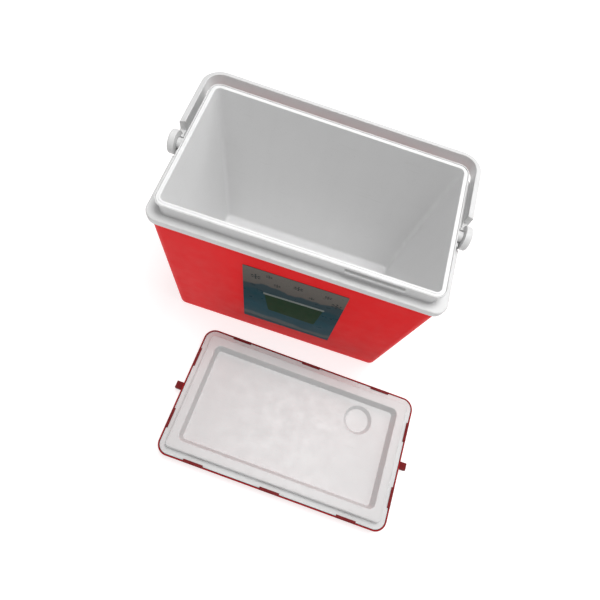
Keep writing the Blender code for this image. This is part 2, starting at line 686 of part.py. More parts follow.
def make_lid_foam(mat, lid):
    """Insulation inside the lid, up under the panel's plug."""
    wall = PANEL_WALL
    under = PANEL_TOP - wall - GAP
    plug_side = PLUG_FROM_LID + PLUG_DRAFT + wall + GAP
    skirt = LEG_IN + GAP * 3
    shoulder = SHOULDER_TOP - wall - GAP
    outside = [
        (LID_TOP_ROUND + GAP, LID_TOP + GAP, lid_lean(LID_TOP_ROUND)),
        (skirt, LID_TOP_ROUND + SINK),
        (skirt, under),
        (plug_side, under),
        (plug_side, shoulder),
    ]
    tray = [
        (-wall - GAP * 2, shoulder),
        (TRAY_DRAFT - wall * 0.3 - GAP * 2, TRAY_FLOOR - wall - GAP),
    ]
    foam = finish(stacked((LID, outside), (TRAY, tray)), "lid_foam", mat, lid)
    pocket = bmesh.new()
    room = wall + GAP * 2
    add_cone(pocket, DIMPLE_AT, TRAY_FLOOR - DIMPLE_DEPTH - room, TRAY_FLOOR + OVERSHOOT,
             DIMPLE_FLOOR_RADIUS + room, DIMPLE_RADIUS + room + OVERSHOOT)
    boolean(foam, cutter(pocket, "foam_dimple_pocket", lid), "DIFFERENCE")
    return foam


# ---- label ---------------------------------------------------------------------
def make_label(mat):
    """Thin printed label that lies on the leaning front wall."""
    lean = Matrix.Rotation(atan(SHELL_TAPER[1] / FLANGE_BOTTOM), 4, "X")
    face_y = -(SHELL[1] - shell_lean(LABEL_MIDDLE)[1]) - GAP
    bm = box((-LABEL_WIDTH / 2, -LABEL_THICK, -LABEL_HEIGHT / 2),
             (LABEL_WIDTH / 2, 0.0, LABEL_HEIGHT / 2))
    obj = finish(bm, "front_label", mat)
    askew = Matrix.Rotation(-LABEL_TILT, 4, "Y")
    obj.matrix_world = Matrix.Translation((LABEL_SHIFT, face_y, LABEL_MIDDLE)) @ lean @ askew
    return obj


def empty(name, location, turn=0.0):
    """Parent for pieces that move together."""
    obj = bpy.data.objects.new(name, None)
    obj.location = location
    obj.rotation_euler = (0.0, 0.0, turn)
    bpy.context.scene.collection.objects.link(obj)
    return obj


def main():
    """Build every piece."""
    clear_scene()
    red = material("red_plastic", (0.62, 0.035, 0.038), 0.42)
    white = material("white_plastic", (0.83, 0.83, 0.82), 0.38)
    foam = material("foam", (0.86, 0.86, 0.84), 0.9)
    print_film = material("label_film", (0.30, 0.42, 0.44), 0.35)

    make_outer_shell(red)
    make_body_foam(foam)
    make_inner_liner(white)
    make_rim_collar(white)
    make_label(print_film)
    make_pivot_pin("pivot_pin_left", -1, white)
    make_pivot_pin("pivot_pin_right", 1, white)

    hinge = empty("handle_axis", (0.0, 0.0, PIVOT_HEIGHT))
    make_handle(white, hinge)

    lid = empty("lid_frame", (*LID_CENTRE, 0.0), LID_TURN)
    make_lid_shell(red, lid)
    make_lid_foam(foam, lid)
    make_lid_panel(white, lid)
    for name, along, edge, turn in clip_places():
        make_clip(name, along, edge, turn, red, lid)
    make_peg("lid_lock_peg_left", -1, red, lid)
    make_peg("lid_lock_peg_right", 1, red, lid)


main()
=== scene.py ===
"""Looks of a picnic cool box: moulded shell and tub, bail handle, upturned lid, printed label.

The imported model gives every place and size. Each sub-assembly is a class that builds its
meshes with bmesh operators and dresses them in procedural finishes.
"""

import logging
from dataclasses import dataclass, field
from enum import Enum
from math import atan, copysign, pi, radians, sqrt, tan
from typing import Callable, Iterable, Sequence

import bmesh
import bpy
from mathutils import Matrix, Vector


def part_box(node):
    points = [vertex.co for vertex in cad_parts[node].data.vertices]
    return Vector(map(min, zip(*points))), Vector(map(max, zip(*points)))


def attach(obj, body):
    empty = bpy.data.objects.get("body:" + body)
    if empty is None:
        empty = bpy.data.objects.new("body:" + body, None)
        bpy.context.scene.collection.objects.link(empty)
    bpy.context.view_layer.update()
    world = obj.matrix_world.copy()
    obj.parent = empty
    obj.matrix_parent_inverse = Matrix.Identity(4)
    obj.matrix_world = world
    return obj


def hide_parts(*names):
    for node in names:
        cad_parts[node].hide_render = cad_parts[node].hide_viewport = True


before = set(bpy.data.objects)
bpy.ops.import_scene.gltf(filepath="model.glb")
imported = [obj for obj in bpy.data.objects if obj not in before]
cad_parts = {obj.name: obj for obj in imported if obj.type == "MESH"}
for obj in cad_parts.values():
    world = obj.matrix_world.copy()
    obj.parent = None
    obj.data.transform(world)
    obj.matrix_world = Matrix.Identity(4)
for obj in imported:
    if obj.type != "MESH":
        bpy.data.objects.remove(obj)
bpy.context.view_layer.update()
LOG = logging.getLogger("cool_box")

MM = 0.001
WELD = 1e-6                    # points closer than this are one point
GAP = 0.3 * MM                 # clearance that touching pieces keep
OVERSHOOT = 2 * MM             # how far a cutter runs past what it cuts
CORNER_STEPS = 12              # segments round a plan corner
TURN_STEPS = 48                # segments round a turned shape
HOLD = 2 * MM                  # where an edge loop holds a flat next to a rounding
SHARP = radians(38)            # folds sharper than this stay crisp
FULL_FOLD = radians(24)        # a fold that wears fully
ALONG_X = Matrix.Rotation(pi / 2, 4, "Y")   # lays an upright turned shape along X
NOISE_LOW, NOISE_HIGH = 0.3, 0.7            # where nearly all of a noise value lies

Profile = list[tuple[float, float]]
Corner = tuple[float, float, float]


class Body(Enum):
    """The moving bodies of the model."""

    BOX = "box"
    HANDLE = "handle"
    LID = "lid"


class Slot(Enum):
    """The record's material slots."""

    RED = "red_plastic"
    WHITE = "white_plastic"
    FOAM = "foam"
    LABEL = "label_film"


class Cut(Enum):
    """How a tool shape meets a piece."""

    ADD = "UNION"
    REMOVE = "DIFFERENCE"


# ---- shapes --------------------------------------------------------------------


@dataclass(frozen=True)
class Plan:
    """A rounded rectangle seen from above, centred on the origin."""

    half_x: float
    half_y: float
    corner: float

    def inset(self, by: float) -> "Plan":
        """Return the outline that lies `by` further in, with concentric corners."""
        return Plan(self.half_x - by, self.half_y - by, self.corner - by)


def soften(corners: Sequence[Corner], closed: bool = False, steps: int = 4) -> Profile:
    """Round the corners of a profile and hold its long flats with extra points.

    Args:
        corners: (inset, height, radius) of each corner; the inset runs inwards.
        closed: Whether the last corner joins the first.
        steps: Segments in each rounding.

    Returns:
        The profile's points in order.
    """
    rounded: Profile = []
    count = len(corners)
    for i, (inset, height, radius) in enumerate(corners):
        here = Vector((inset, height))
        if radius <= 0 or (not closed and i in (0, count - 1)):
            rounded.append((inset, height))
            continue
        back = Vector(corners[i - 1][:2]) - here
        on = Vector(corners[(i + 1) % count][:2]) - here
        reach = radius / tan(back.angle(on) / 2)
        start = here + back.normalized() * min(reach, back.length / 2)
        end = here + on.normalized() * min(reach, on.length / 2)
        for step in range(steps + 1):
            t = step / steps
            point = start * (1 - t) ** 2 + here * (2 * t * (1 - t)) + end * t ** 2
            rounded.append((point.x, point.y))
    held: Profile = []
    ends = rounded[1:] + ([rounded[0]] if closed else [])
    for first, second in zip(rounded, ends):
        held.append(first)
        a, b = Vector(first), Vector(second)
        length = (b - a).length
        if length > 3 * HOLD:
            held += [tuple(a.lerp(b, HOLD / length)), tuple(b.lerp(a, HOLD / length))]
    if not closed:
        held.append(rounded[-1])
    return held


def start_profile(bm: bmesh.types.BMesh, profile: Profile, origin: Vector, inward: Vector,
                  closed: bool) -> list:
    """Add a profile's points and edges to a bmesh, and return them as spin geometry."""
    up = Vector((0, 0, 1))
    verts = [bm.verts.new(origin + inward * inset + up * height) for inset, height in profile]
    pairs = list(zip(verts, verts[1:]))
    if closed:
        pairs.append((verts[-1], verts[0]))
    return verts + [bm.edges.new(pair) for pair in pairs]


def run_straight(bm: bmesh.types.BMesh, geom: list, along: Vector, steps: int) -> list:
    """Extrude a profile in a straight line and return its far end."""
    return bmesh.ops.spin(bm, geom=geom, cent=(0, 0, 0), axis=(0, 0, 1), dvec=along / steps,
                          angle=0.0, steps=steps, use_duplicate=False)["geom_last"]


def run_corner(bm: bmesh.types.BMesh, geom: list, centre: Vector, steps: int) -> list:
    """Turn a profile a quarter anticlockwise about an upright axis; return its far end."""
    return bmesh.ops.spin(bm, geom=geom, cent=centre, axis=(0, 0, 1), dvec=(0, 0, 0),
                          angle=pi / 2, steps=steps, use_duplicate=False)["geom_last"]


def sweep_round(plan: Plan, profile: Profile, closed: bool = False,
                side_steps: int = 10) -> bmesh.types.BMesh:
    """Run a profile all the way round a plan outline.

    Args:
        plan: The outline that insets are measured from.
        profile: (inset, height) points.
        closed: Whether the profile is a loop, which makes a solid ring.
        side_steps: Segments along each straight side.

    Returns:
        The swept surface; an open profile leaves its two end loops open.
    """
    bm = bmesh.new()
    side_x, side_y = plan.half_x - plan.corner, plan.half_y - plan.corner
    geom = start_profile(bm, profile, Vector((plan.half_x, -side_y, 0)), Vector((-1, 0, 0)), closed)
    legs = (((0, 1), (1, 1)), ((-1, 0), (-1, 1)), ((0, -1), (-1, -1)), ((1, 0), (1, -1)))
    for (go_x, go_y), (at_x, at_y) in legs:
        along = Vector((2 * side_x * go_x, 2 * side_y * go_y, 0))
        geom = run_straight(bm, geom, along, side_steps)
        geom = run_corner(bm, geom, Vector((side_x * at_x, side_y * at_y, 0)), CORNER_STEPS)
    bmesh.ops.remove_doubles(bm, verts=bm.verts[:], dist=WELD)
    return bm


def reshape(bm: bmesh.types.BMesh, old: Plan, new: Plan, beyond: float) -> None:
    """Carry what lies outside an outline over to another plan, side for side.

    Args:
        bm: A swept shape that was run round the old plan.
        old: The plan that it was run round.
        new: The plan that it is carried to.
        beyond: Inset from the old plan; what lies further in stays put.
    """
    turn = Vector((old.half_x - old.corner, old.half_y - old.corner))
    new_turn = Vector((new.half_x - new.corner, new.half_y - new.corner))
    for vert in bm.verts:
        out = Vector((max(abs(vert.co.x) - turn.x, 0.0), max(abs(vert.co.y) - turn.y, 0.0)))
        if out.length < old.corner - beyond:
            continue
        reach = out.length + new.corner - old.corner
        for axis in (0, 1):
            size = abs(vert.co[axis])
            size = (new_turn[axis] + out[axis] / out.length * reach if out[axis] > 0
                    else size * new_turn[axis] / turn[axis])
            vert.co[axis] = copysign(size, vert.co[axis])


def cap_open_loops(bm: bmesh.types.BMesh, hold: float = HOLD) -> None:
    """Close each open loop with a flat face that an inset loop holds."""
    rims = [edge for edge in bm.edges if edge.is_boundary]
    made = bmesh.ops.holes_fill(bm, edges=rims, sides=0)["faces"]
    bmesh.ops.recalc_face_normals(bm, faces=bm.faces[:])
    bmesh.ops.inset_individual(bm, faces=made, thickness=hold, depth=0.0)


def lean_in(bm: bmesh.types.BMesh, lean: Callable[[float], tuple[float, float]]) -> None:
    """Move the end and long walls inwards by a draft that depends on their height."""
    for vert in bm.verts:
        shift_x, shift_y = lean(vert.co.z)
        vert.co.x -= copysign(min(shift_x, abs(vert.co.x)), vert.co.x)
        vert.co.y -= copysign(min(shift_y, abs(vert.co.y)), vert.co.y)


def turned(profile: Profile, place: Matrix) -> bmesh.types.BMesh:
    """Turn a (radius, height) profile about its own upright axis into a solid.

    Args:
        profile: Points from the axis at one end to the axis at the other.
        place: Where the turned solid goes.

    Returns:
        The closed solid.
    """
    bm = bmesh.new()
    geom = start_profile(bm, profile, Vector(), Vector((1, 0, 0)), closed=False)
    bmesh.ops.spin(bm, geom=geom, cent=(0, 0, 0), axis=(0, 0, 1), dvec=(0, 0, 0),
                   angle=2 * pi, steps=TURN_STEPS, use_merge=True, use_duplicate=False)
    bmesh.ops.remove_doubles(bm, verts=bm.verts[:], dist=WELD)
    bmesh.ops.recalc_face_normals(bm, faces=bm.faces[:])
    bmesh.ops.transform(bm, matrix=place, verts=bm.verts[:])
    return bm


def block(low: Sequence[float], high: Sequence[float], rounding: float = 0.0,
          steps: int = 3) -> bmesh.types.BMesh:
    """Make a box between two corners, with every edge rounded."""
    bm = bmesh.new()
    low, high = Vector(low), Vector(high)
    scale = Matrix.Diagonal((*(high - low), 1.0))
    bmesh.ops.create_cube(bm, size=1.0, matrix=Matrix.Translation((low + high) / 2) @ scale)
    if rounding > 0:
        bmesh.ops.bevel(bm, geom=bm.edges[:], offset=rounding, offset_type="OFFSET",
                        segments=steps, profile=0.5, affect="EDGES", material=-1)
    return bm


def extruded(outline: Iterable[Vector], along: Vector) -> bmesh.types.BMesh:
    """Extrude a flat outline into a solid."""
    bm = bmesh.new()
    face = bm.faces.new([bm.verts.new(point) for point in outline])
    pulled = bmesh.ops.extrude_face_region(bm, geom=[face])["geom"]
    moved = [item for item in pulled if isinstance(item, bmesh.types.BMVert)]
    bmesh.ops.translate(bm, verts=moved, vec=along)
    bmesh.ops.recalc_face_normals(bm, faces=bm.faces[:])
    return bm


def mirrored(bm: bmesh.types.BMesh) -> bmesh.types.BMesh:
    """Return a copy of a shape on the other side of the YZ plane."""
    copy = bm.copy()
    bmesh.ops.scale(copy, vec=(-1, 1, 1), verts=copy.verts[:])
    bmesh.ops.recalc_face_normals(copy, faces=copy.faces[:])
    return copy


def both_ends(*shapes: bmesh.types.BMesh) -> list[bmesh.types.BMesh]:
    """Return shapes together with their copies on the other side of the YZ plane."""
    return [*shapes, *[mirrored(shape) for shape in shapes]]


def to_mesh(bm: bmesh.types.BMesh, name: str) -> bpy.types.Mesh:
    """Store a shape in a new mesh and free it."""
    mesh = bpy.data.meshes.new(name)
    bm.to_mesh(mesh)
    bm.free()
    return mesh


def new_object(name: str, data: bpy.types.ID) -> bpy.types.Object:
    """Put a mesh, a light or a camera in the scene as an object."""
    obj = bpy.data.objects.new(name, data)
    bpy.context.scene.collection.objects.link(obj)
    return obj


def joined(shapes: Iterable[bmesh.types.BMesh]) -> bmesh.types.BMesh:
    """Gather several separate shapes in one bmesh and free them."""
    whole = bmesh.new()
    for shape in shapes:
        mesh = to_mesh(shape, "part_shape")
        whole.from_mesh(mesh)
        bpy.data.meshes.remove(mesh)
    return whole


def carve(bm: bmesh.types.BMesh, tool: bmesh.types.BMesh, how: Cut) -> bmesh.types.BMesh:
    """Join a tool shape to a solid or cut it away, exactly, and free both.

    Args:
        bm: The solid to change.
        tool: The closed shape to add or remove.
        how: Whether it is added or removed.

    Returns:
        The changed solid.
    """
    pair = []
    for name, shape in (("carved", bm), ("tool", tool)):
        bmesh.ops.recalc_face_normals(shape, faces=shape.faces[:])
        pair.append(new_object(name, to_mesh(shape, name)))
    solid, cutter = pair
    step = solid.modifiers.new(name="carve", type="BOOLEAN")
    step.operation = how.value
    step.solver = "EXACT"
    step.object = cutter
    evaluated = solid.evaluated_get(bpy.context.evaluated_depsgraph_get())
    result = bmesh.new()
    result.from_mesh(evaluated.to_mesh())
    evaluated.to_mesh_clear()
    for obj in pair:
        mesh = obj.data
        bpy.data.objects.remove(obj)
        bpy.data.meshes.remove(mesh)
    return result


def mark_edge_wear(bm: bmesh.types.BMesh) -> None:
    """Store how exposed each point is, from the folds that stand out of the surface."""
    layer = bm.verts.layers.float.new("edge_wear")
    bm.normal_update()
    for vert in bm.verts:
        folds = [edge.calc_face_angle_signed(0.0) for edge in vert.link_edges
                 if len(edge.link_faces) == 2]
        vert[layer] = min(1.0, max([0.0, *folds]) / FULL_FOLD)


def make_piece(bm: bmesh.types.BMesh, name: str, finish: bpy.types.Material, body: Body,
               stands_for: Sequence[str] = ()) -> bpy.types.Object:
    """Turn a shape into a finished piece that rides on a body.

    Args:
        bm: The shape in the shared frame; it is freed.
        name: The piece's name.
        finish: Its material.
        body: The body that it moves with.
        stands_for: CAD nodes that it is shown in place of.

    Returns:
        The new object.
    """
    bmesh.ops.remove_doubles(bm, verts=bm.verts[:], dist=WELD)
    bmesh.ops.recalc_face_normals(bm, faces=bm.faces[:])
    if bm.calc_volume(signed=True) < 0:
        bmesh.ops.reverse_faces(bm, faces=bm.faces[:])
    mark_edge_wear(bm)
    mesh = to_mesh(bm, name)
    mesh.shade_smooth()
    mesh.set_sharp_from_angle(angle=SHARP)
    mesh.materials.append(finish)
    obj = new_object(name, mesh)
    even = obj.modifiers.new(name="even_shading", type="WEIGHTED_NORMAL")
    even.keep_sharp = True
    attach(obj, body.value)
    if stands_for:
        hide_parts(*stands_for)
    LOG.info("%s: %d faces on %s", name, len(mesh.polygons), body.value)
    return obj


# ---- finishes ------------------------------------------------------------------


class Graph:
    """A material's node tree with short calls for nodes and links."""

    def __init__(self, name: str) -> None:
        """Start a material that has only its Principled shader."""
        self.material = bpy.data.materials.new(name)
        self.material.use_nodes = True
        self.tree = self.material.node_tree
        self.shader = self.tree.nodes["Principled BSDF"]
        self.place = self.node("ShaderNodeTexCoord").outputs["Object"]

    def node(self, kind: str, inputs: dict | None = None, **settings: object) -> bpy.types.Node:
        """Add a node.

        Args:
            kind: Blender's node type.
            inputs: Socket name or number to a value or to the socket that feeds it.
            settings: Properties of the node itself.

        Returns:
            The new node.
        """
        made = self.tree.nodes.new(kind)
        for key, value in settings.items():
            setattr(made, key, value)
        for key, value in (inputs or {}).items():
            self.feed(made.inputs[key], value)
        return made

    def feed(self, socket: bpy.types.NodeSocket, value: object) -> None:
        """Link a socket to another, or set its value."""
        if isinstance(value, bpy.types.NodeSocket):
            self.tree.links.new(value, socket)
        else:
            socket.default_value = value

    def noise(self, scale: float, detail: float = 2.0,
              stretch: tuple[float, float, float] = (1, 1, 1)) -> bpy.types.NodeSocket:
        """Return a noise value on the piece's own coordinates, stretched along an axis."""
        where = self.node("ShaderNodeMapping", {"Vector": self.place, "Scale": stretch})
        made = self.node("ShaderNodeTexNoise", {"Vector": where.outputs[0], "Scale": scale,
                                                "Detail": detail, "Roughness": 0.55})
        return made.outputs[0]

    def remap(self, value: object, low: float, high: float, to_low: float,
              to_high: float) -> bpy.types.NodeSocket:
        """Return a value mapped from one range to another and kept inside it."""
        return self.node("ShaderNodeMapRange", {0: value, 1: low, 2: high, 3: to_low,
                                                4: to_high}).outputs[0]

    def drift(self, scale: float, detail: float, low: float, high: float,
              stretch: tuple[float, float, float] = (1, 1, 1)) -> bpy.types.NodeSocket:
        """Return a noise value spread over the range from low to high."""
        return self.remap(self.noise(scale, detail, stretch), NOISE_LOW, NOISE_HIGH, low, high)

    def maths(self, operation: str, first: object, second: object) -> bpy.types.NodeSocket:
        """Return the result of one sum on two values."""
        return self.node("ShaderNodeMath", {0: first, 1: second}, operation=operation,
                         use_clamp=operation != "SUBTRACT").outputs[0]

    def mix(self, share: object, first: object, second: object) -> bpy.types.NodeSocket:
        """Return a colour between two, by share."""
        made = self.node("ShaderNodeMix", data_type="RGBA")
        self.feed(made.inputs[0], share)
        for index, value in ((6, first), (7, second)):
            self.feed(made.inputs[index], value)
        return made.outputs[2]

    def bump(self, height: object, distance: float,
             under: bpy.types.NodeSocket | None = None) -> bpy.types.NodeSocket:
        """Return a normal raised by a height map, on top of another bump."""
        inputs = {"Height": height, "Distance": distance, "Strength": 1.0}
        if under is not None:
            inputs["Normal"] = under
        return self.node("ShaderNodeBump", inputs).outputs[0]

    def finish(self, **inputs: object) -> bpy.types.Material:
        """Feed the shader, with underscores for the spaces in its names; return the material."""
        for name, value in inputs.items():
            self.feed(self.shader.inputs[name.replace("_", " ")], value)
        return self.material


def shade(colour: Sequence[float], by: float) -> tuple[float, float, float, float]:
    """Return a colour made lighter or darker, with full alpha."""
    return (*(min(1.0, part * by) for part in colour), 1.0)


@dataclass(frozen=True)
class MouldedPlastic:
    """Injection-moulded plastic: fine spark grain, orange peel, flow marks and scuffs."""

    name: str
    colour: tuple[float, float, float]
    worn: tuple[float, float, float]
    roughness: float
    variation: float = 0.05        # how far the colour drifts over the piece
    gloss: float = 0.4             # strength of the mirror-like part
    grain: float = 1500.0          # spark-eroded grain, per metre
    grain_depth: float = 0.012 * MM
    peel: float = 240.0            # orange peel, per metre
    peel_depth: float = 0.03 * MM
    sink: float = 14.0             # shallow sink marks, per metre
    sink_depth: float = 0.35 * MM
    scratch_depth: float = 0.02 * MM
    ground_scuff: float = 0.0      # height up to which the ground scuffs it

    def make(self) -> bpy.types.Material:
        """Build the material."""
        g = Graph(self.name)
        clouds = g.drift(7.0, 3.0, 0.0, 0.6)
        flow_marks = g.drift(34.0, 2.0, 0.0, 0.4, stretch=(1, 1, 0.06))
        colour = g.mix(g.maths("ADD", clouds, flow_marks), shade(self.colour, 1 - self.variation),
                       shade(self.colour, 1 + self.variation))
        speck = g.remap(g.noise(620.0, 1.0), 0.70, 0.76, 0.0, 0.35)
        colour = g.mix(speck, colour, shade(self.colour, 0.72))
        hairs = g.remap(g.noise(26.0, 6.0, stretch=(1, 16, 9)), 0.655, 0.675, 0.0, 1.0)
        across = g.remap(g.noise(31.0, 6.0, stretch=(13, 1, 7)), 0.665, 0.68, 0.0, 1.0)
        scratch = g.maths("MULTIPLY", g.maths("MAXIMUM", hairs, across), 0.5)
        exposed = g.node("ShaderNodeAttribute", attribute_name="edge_wear").outputs["Fac"]
        patchy = g.remap(g.noise(85.0, 4.0), 0.42, 0.66, 0.0, 0.85)
        wear = g.maths("MULTIPLY", exposed, patchy)
        if self.ground_scuff > 0:
            height = g.node("ShaderNodeSeparateXYZ", {0: g.place}).outputs[2]
            low = g.remap(height, 0.0, self.ground_scuff, 1.0, 0.0)
            rubbed = g.remap(g.noise(150.0, 5.0, stretch=(0.4, 0.4, 1.6)), 0.5, 0.62, 0.0, 0.6)
            wear = g.maths("MAXIMUM", wear, g.maths("MULTIPLY", low, rubbed))
        marks = g.maths("MAXIMUM", wear, g.maths("MULTIPLY", scratch, 0.35))
        colour = g.mix(marks, colour, (*self.worn, 1.0))
        rough = g.drift(48.0, 4.0, self.roughness - 0.06, self.roughness + 0.06)
        rough = g.maths("ADD", rough, g.maths("MULTIPLY", marks, 0.22))
        normal = g.bump(g.noise(self.sink, 1.0), self.sink_depth)
        normal = g.bump(g.noise(self.peel, 2.0), self.peel_depth, normal)
        normal = g.bump(g.noise(self.grain, 2.0), self.grain_depth, normal)
        normal = g.bump(g.maths("SUBTRACT", 1.0, scratch), self.scratch_depth, normal)
        return g.finish(Base_Color=colour, Roughness=rough, Normal=normal, IOR=1.49,
                        Specular_IOR_Level=self.gloss)


@dataclass(frozen=True)
class BeadFoam:
    """Expanded foam: pressed beads with dark seams between them."""

    name: str = "bead_foam"
    colour: tuple[float, float, float] = (0.80, 0.80, 0.78)
    bead: float = 260.0            # beads per metre
    dome: float = 0.35 * MM        # how far a bead stands up

    def make(self) -> bpy.types.Material:
        """Build the material."""
        g = Graph(self.name)
        cells = g.node("ShaderNodeTexVoronoi", {"Vector": g.place, "Scale": self.bead},
                       feature="DISTANCE_TO_EDGE").outputs[0]
        seam = g.remap(cells, 0.0, 0.12, 1.0, 0.0)
        tone = g.mix(g.drift(90.0, 2.0, 0.0, 1.0), shade(self.colour, 0.95),
                     shade(self.colour, 1.04))
        domed = g.remap(cells, 0.0, 0.3, 0.0, 1.0)
        return g.finish(Base_Color=g.mix(seam, tone, shade(self.colour, 0.62)),
                        Roughness=g.remap(seam, 0.0, 1.0, 0.78, 0.95),
                        Normal=g.bump(domed, self.dome))


PRINT_DOTS = 1100.0            # dots of the print, per metre
FILM_GRAIN = 900.0             # grain of the film, per metre
FILM_DEPTH = 0.004 * MM
FILM_SHINE = 0.02


@dataclass(frozen=True)
class LandscapePrint:
    """Printed film: grey sky over teal hills and water, with a printed dot grain.

    The print is laid out on the label's own plane, from its middle.
    """

    name: str
    to_label: Matrix               # from the shared frame to the label's own
    height: float
    sky: tuple[float, float, float] = (0.140, 0.125, 0.110)
    far_hill: tuple[float, float, float] = (0.024, 0.050, 0.060)
    near_hill: tuple[float, float, float] = (0.002, 0.046, 0.062)
    water: tuple[float, float, float] = (0.000, 0.058, 0.082)
    shore: tuple[float, float, float] = (0.080, 0.110, 0.115)
    grain: tuple[float, float, float] = (0.020, 0.050, 0.060)

    def make(self) -> bpy.types.Material:
        """Build the material."""
        g = Graph(self.name)
        local = g.node("ShaderNodeMapping", {"Vector": g.place,
                                             "Location": self.to_label.translation,
                                             "Rotation": self.to_label.to_euler()}).outputs[0]
        split = g.node("ShaderNodeSeparateXYZ", {0: local})
        across, up = split.outputs[0], split.outputs[2]

        def ridge(level: float, scale: float, rise: float, softness: float) -> bpy.types.NodeSocket:
            """Return 1 under a wavy line at a share of the label's height, 0 over it."""
            line = g.node("ShaderNodeCombineXYZ", {0: across, 1: level, 2: 0.0}).outputs[0]
            wave = g.node("ShaderNodeTexNoise", {"Vector": line, "Scale": scale, "Detail": 4.0,
                                                 "Roughness": 0.5}).outputs[0]
            lifted = g.remap(wave, NOISE_LOW, NOISE_HIGH, -rise, rise)
            over = g.maths("SUBTRACT", g.maths("SUBTRACT", up, level * self.height), lifted)
            return g.remap(over, -softness, softness, 1.0, 0.0)

        sky = g.mix(g.remap(up, 0.2 * self.height, 0.5 * self.height, 0.0, 1.0),
                    shade(self.sky, 0.8), shade(self.sky, 1.1))
        colour = g.mix(ridge(0.26, 16.0, 12 * MM, 2.5 * MM), sky, (*self.far_hill, 1.0))
        colour = g.mix(ridge(0.12, 22.0, 9 * MM, 5 * MM), colour, (*self.near_hill, 1.0))
        colour = g.mix(ridge(-0.10, 12.0, 7 * MM, 9 * MM), colour, (*self.water, 1.0))
        colour = g.mix(ridge(-0.37, 14.0, 9 * MM, 4 * MM), colour, (*self.shore, 1.0))
        colour = g.mix(ridge(-0.45, 19.0, 5 * MM, 3 * MM), colour, (*self.near_hill, 1.0))
        dots = g.remap(g.noise(PRINT_DOTS, 1.0), 0.35, 0.65, 0.0, 0.22)
        ripple = g.bump(g.noise(45.0, 2.0), 0.12 * MM)
        return g.finish(Base_Color=g.mix(dots, colour, (*self.grain, 1.0)),
                        Roughness=g.drift(60.0, 3.0, 0.26, 0.38), Specular_IOR_Level=FILM_SHINE,
                        Normal=g.bump(g.noise(FILM_GRAIN, 1.0), FILM_DEPTH, ripple))


@dataclass(frozen=True)
class PrintInk:
    """One printed colour of the label, with a slight run from top to bottom."""

    name: str
    top: tuple[float, float, float]
    bottom: tuple[float, float, float]
    low: float                     # height of the bottom colour
    high: float                    # height of the top colour

    def make(self) -> bpy.types.Material:
        """Build the material."""
        g = Graph(self.name)
        height = g.node("ShaderNodeSeparateXYZ", {0: g.place}).outputs[2]
        blotch = g.drift(70.0, 3.0, -8 * MM, 8 * MM)
        share = g.remap(g.maths("ADD", height, blotch), self.low, self.high, 0.0, 1.0)
        colour = g.mix(share, (*self.bottom, 1.0), (*self.top, 1.0))
        dots = g.remap(g.noise(PRINT_DOTS, 1.0), 0.35, 0.65, 0.0, 0.2)
        return g.finish(Base_Color=g.mix(dots, colour, shade(self.bottom, 0.6)),
                        Roughness=g.drift(60.0, 3.0, 0.28, 0.4), Specular_IOR_Level=FILM_SHINE,
                        Normal=g.bump(g.noise(FILM_GRAIN, 1.0), FILM_DEPTH))


@dataclass(frozen=True)
class StudioFloor:
    """Smooth pale sweep under the box."""

    colour: tuple[float, float, float] = (0.55, 0.55, 0.55)
    glow: float = 0.70             # light of its own, like a lit sweep

    def make(self) -> bpy.types.Material:
        """Build the material."""
        g = Graph("studio_floor")
        tone = g.mix(g.drift(3.0, 2.0, 0.0, 1.0), shade(self.colour, 0.995),
                     shade(self.colour, 1.0))
        return g.finish(Base_Color=tone, Roughness=0.9, Specular_IOR_Level=0.1,
                        Emission_Color=(1.0, 1.0, 1.0, 1.0), Emission_Strength=self.glow)


@dataclass(frozen=True)
class Finishes:
    """The finishes that several pieces share."""

    red: bpy.types.Material
    lid_red: bpy.types.Material
    hook_red: bpy.types.Material
    white: bpy.types.Material
    tub_white: bpy.types.Material
    foam: bpy.types.Material

    @classmethod
    def mix_up(cls) -> "Finishes":
        """Make every shared finish."""
        return cls(
            red=MouldedPlastic("red_plastic_satin", (0.84, 0.008, 0.011), (0.72, 0.05, 0.05),
                               0.46, gloss=0.06, ground_scuff=22 * MM).make(),
            hook_red=MouldedPlastic("red_plastic_hooks", (0.17, 0.006, 0.008),
                                    (0.24, 0.03, 0.03), 0.48, gloss=0.12).make(),
            lid_red=MouldedPlastic("red_plastic_lid", (0.34, 0.008, 0.011), (0.36, 0.05, 0.05),
                                   0.46, gloss=0.1).make(),
            white=MouldedPlastic("white_plastic_satin", (0.69, 0.69, 0.69),
                                 (0.60, 0.60, 0.59), 0.40, variation=0.02).make(),
            # brighter copy of the white plastic for the tub: painted light that lifts the shade
            # inside the deep tub
            tub_white=MouldedPlastic("white_plastic_tub_painted_light", (0.83, 0.83, 0.83),
                                     (0.70, 0.70, 0.69), 0.46, variation=0.02).make(),
            foam=BeadFoam().make(),
        )


# ---- box -----------------------------------------------------------------------


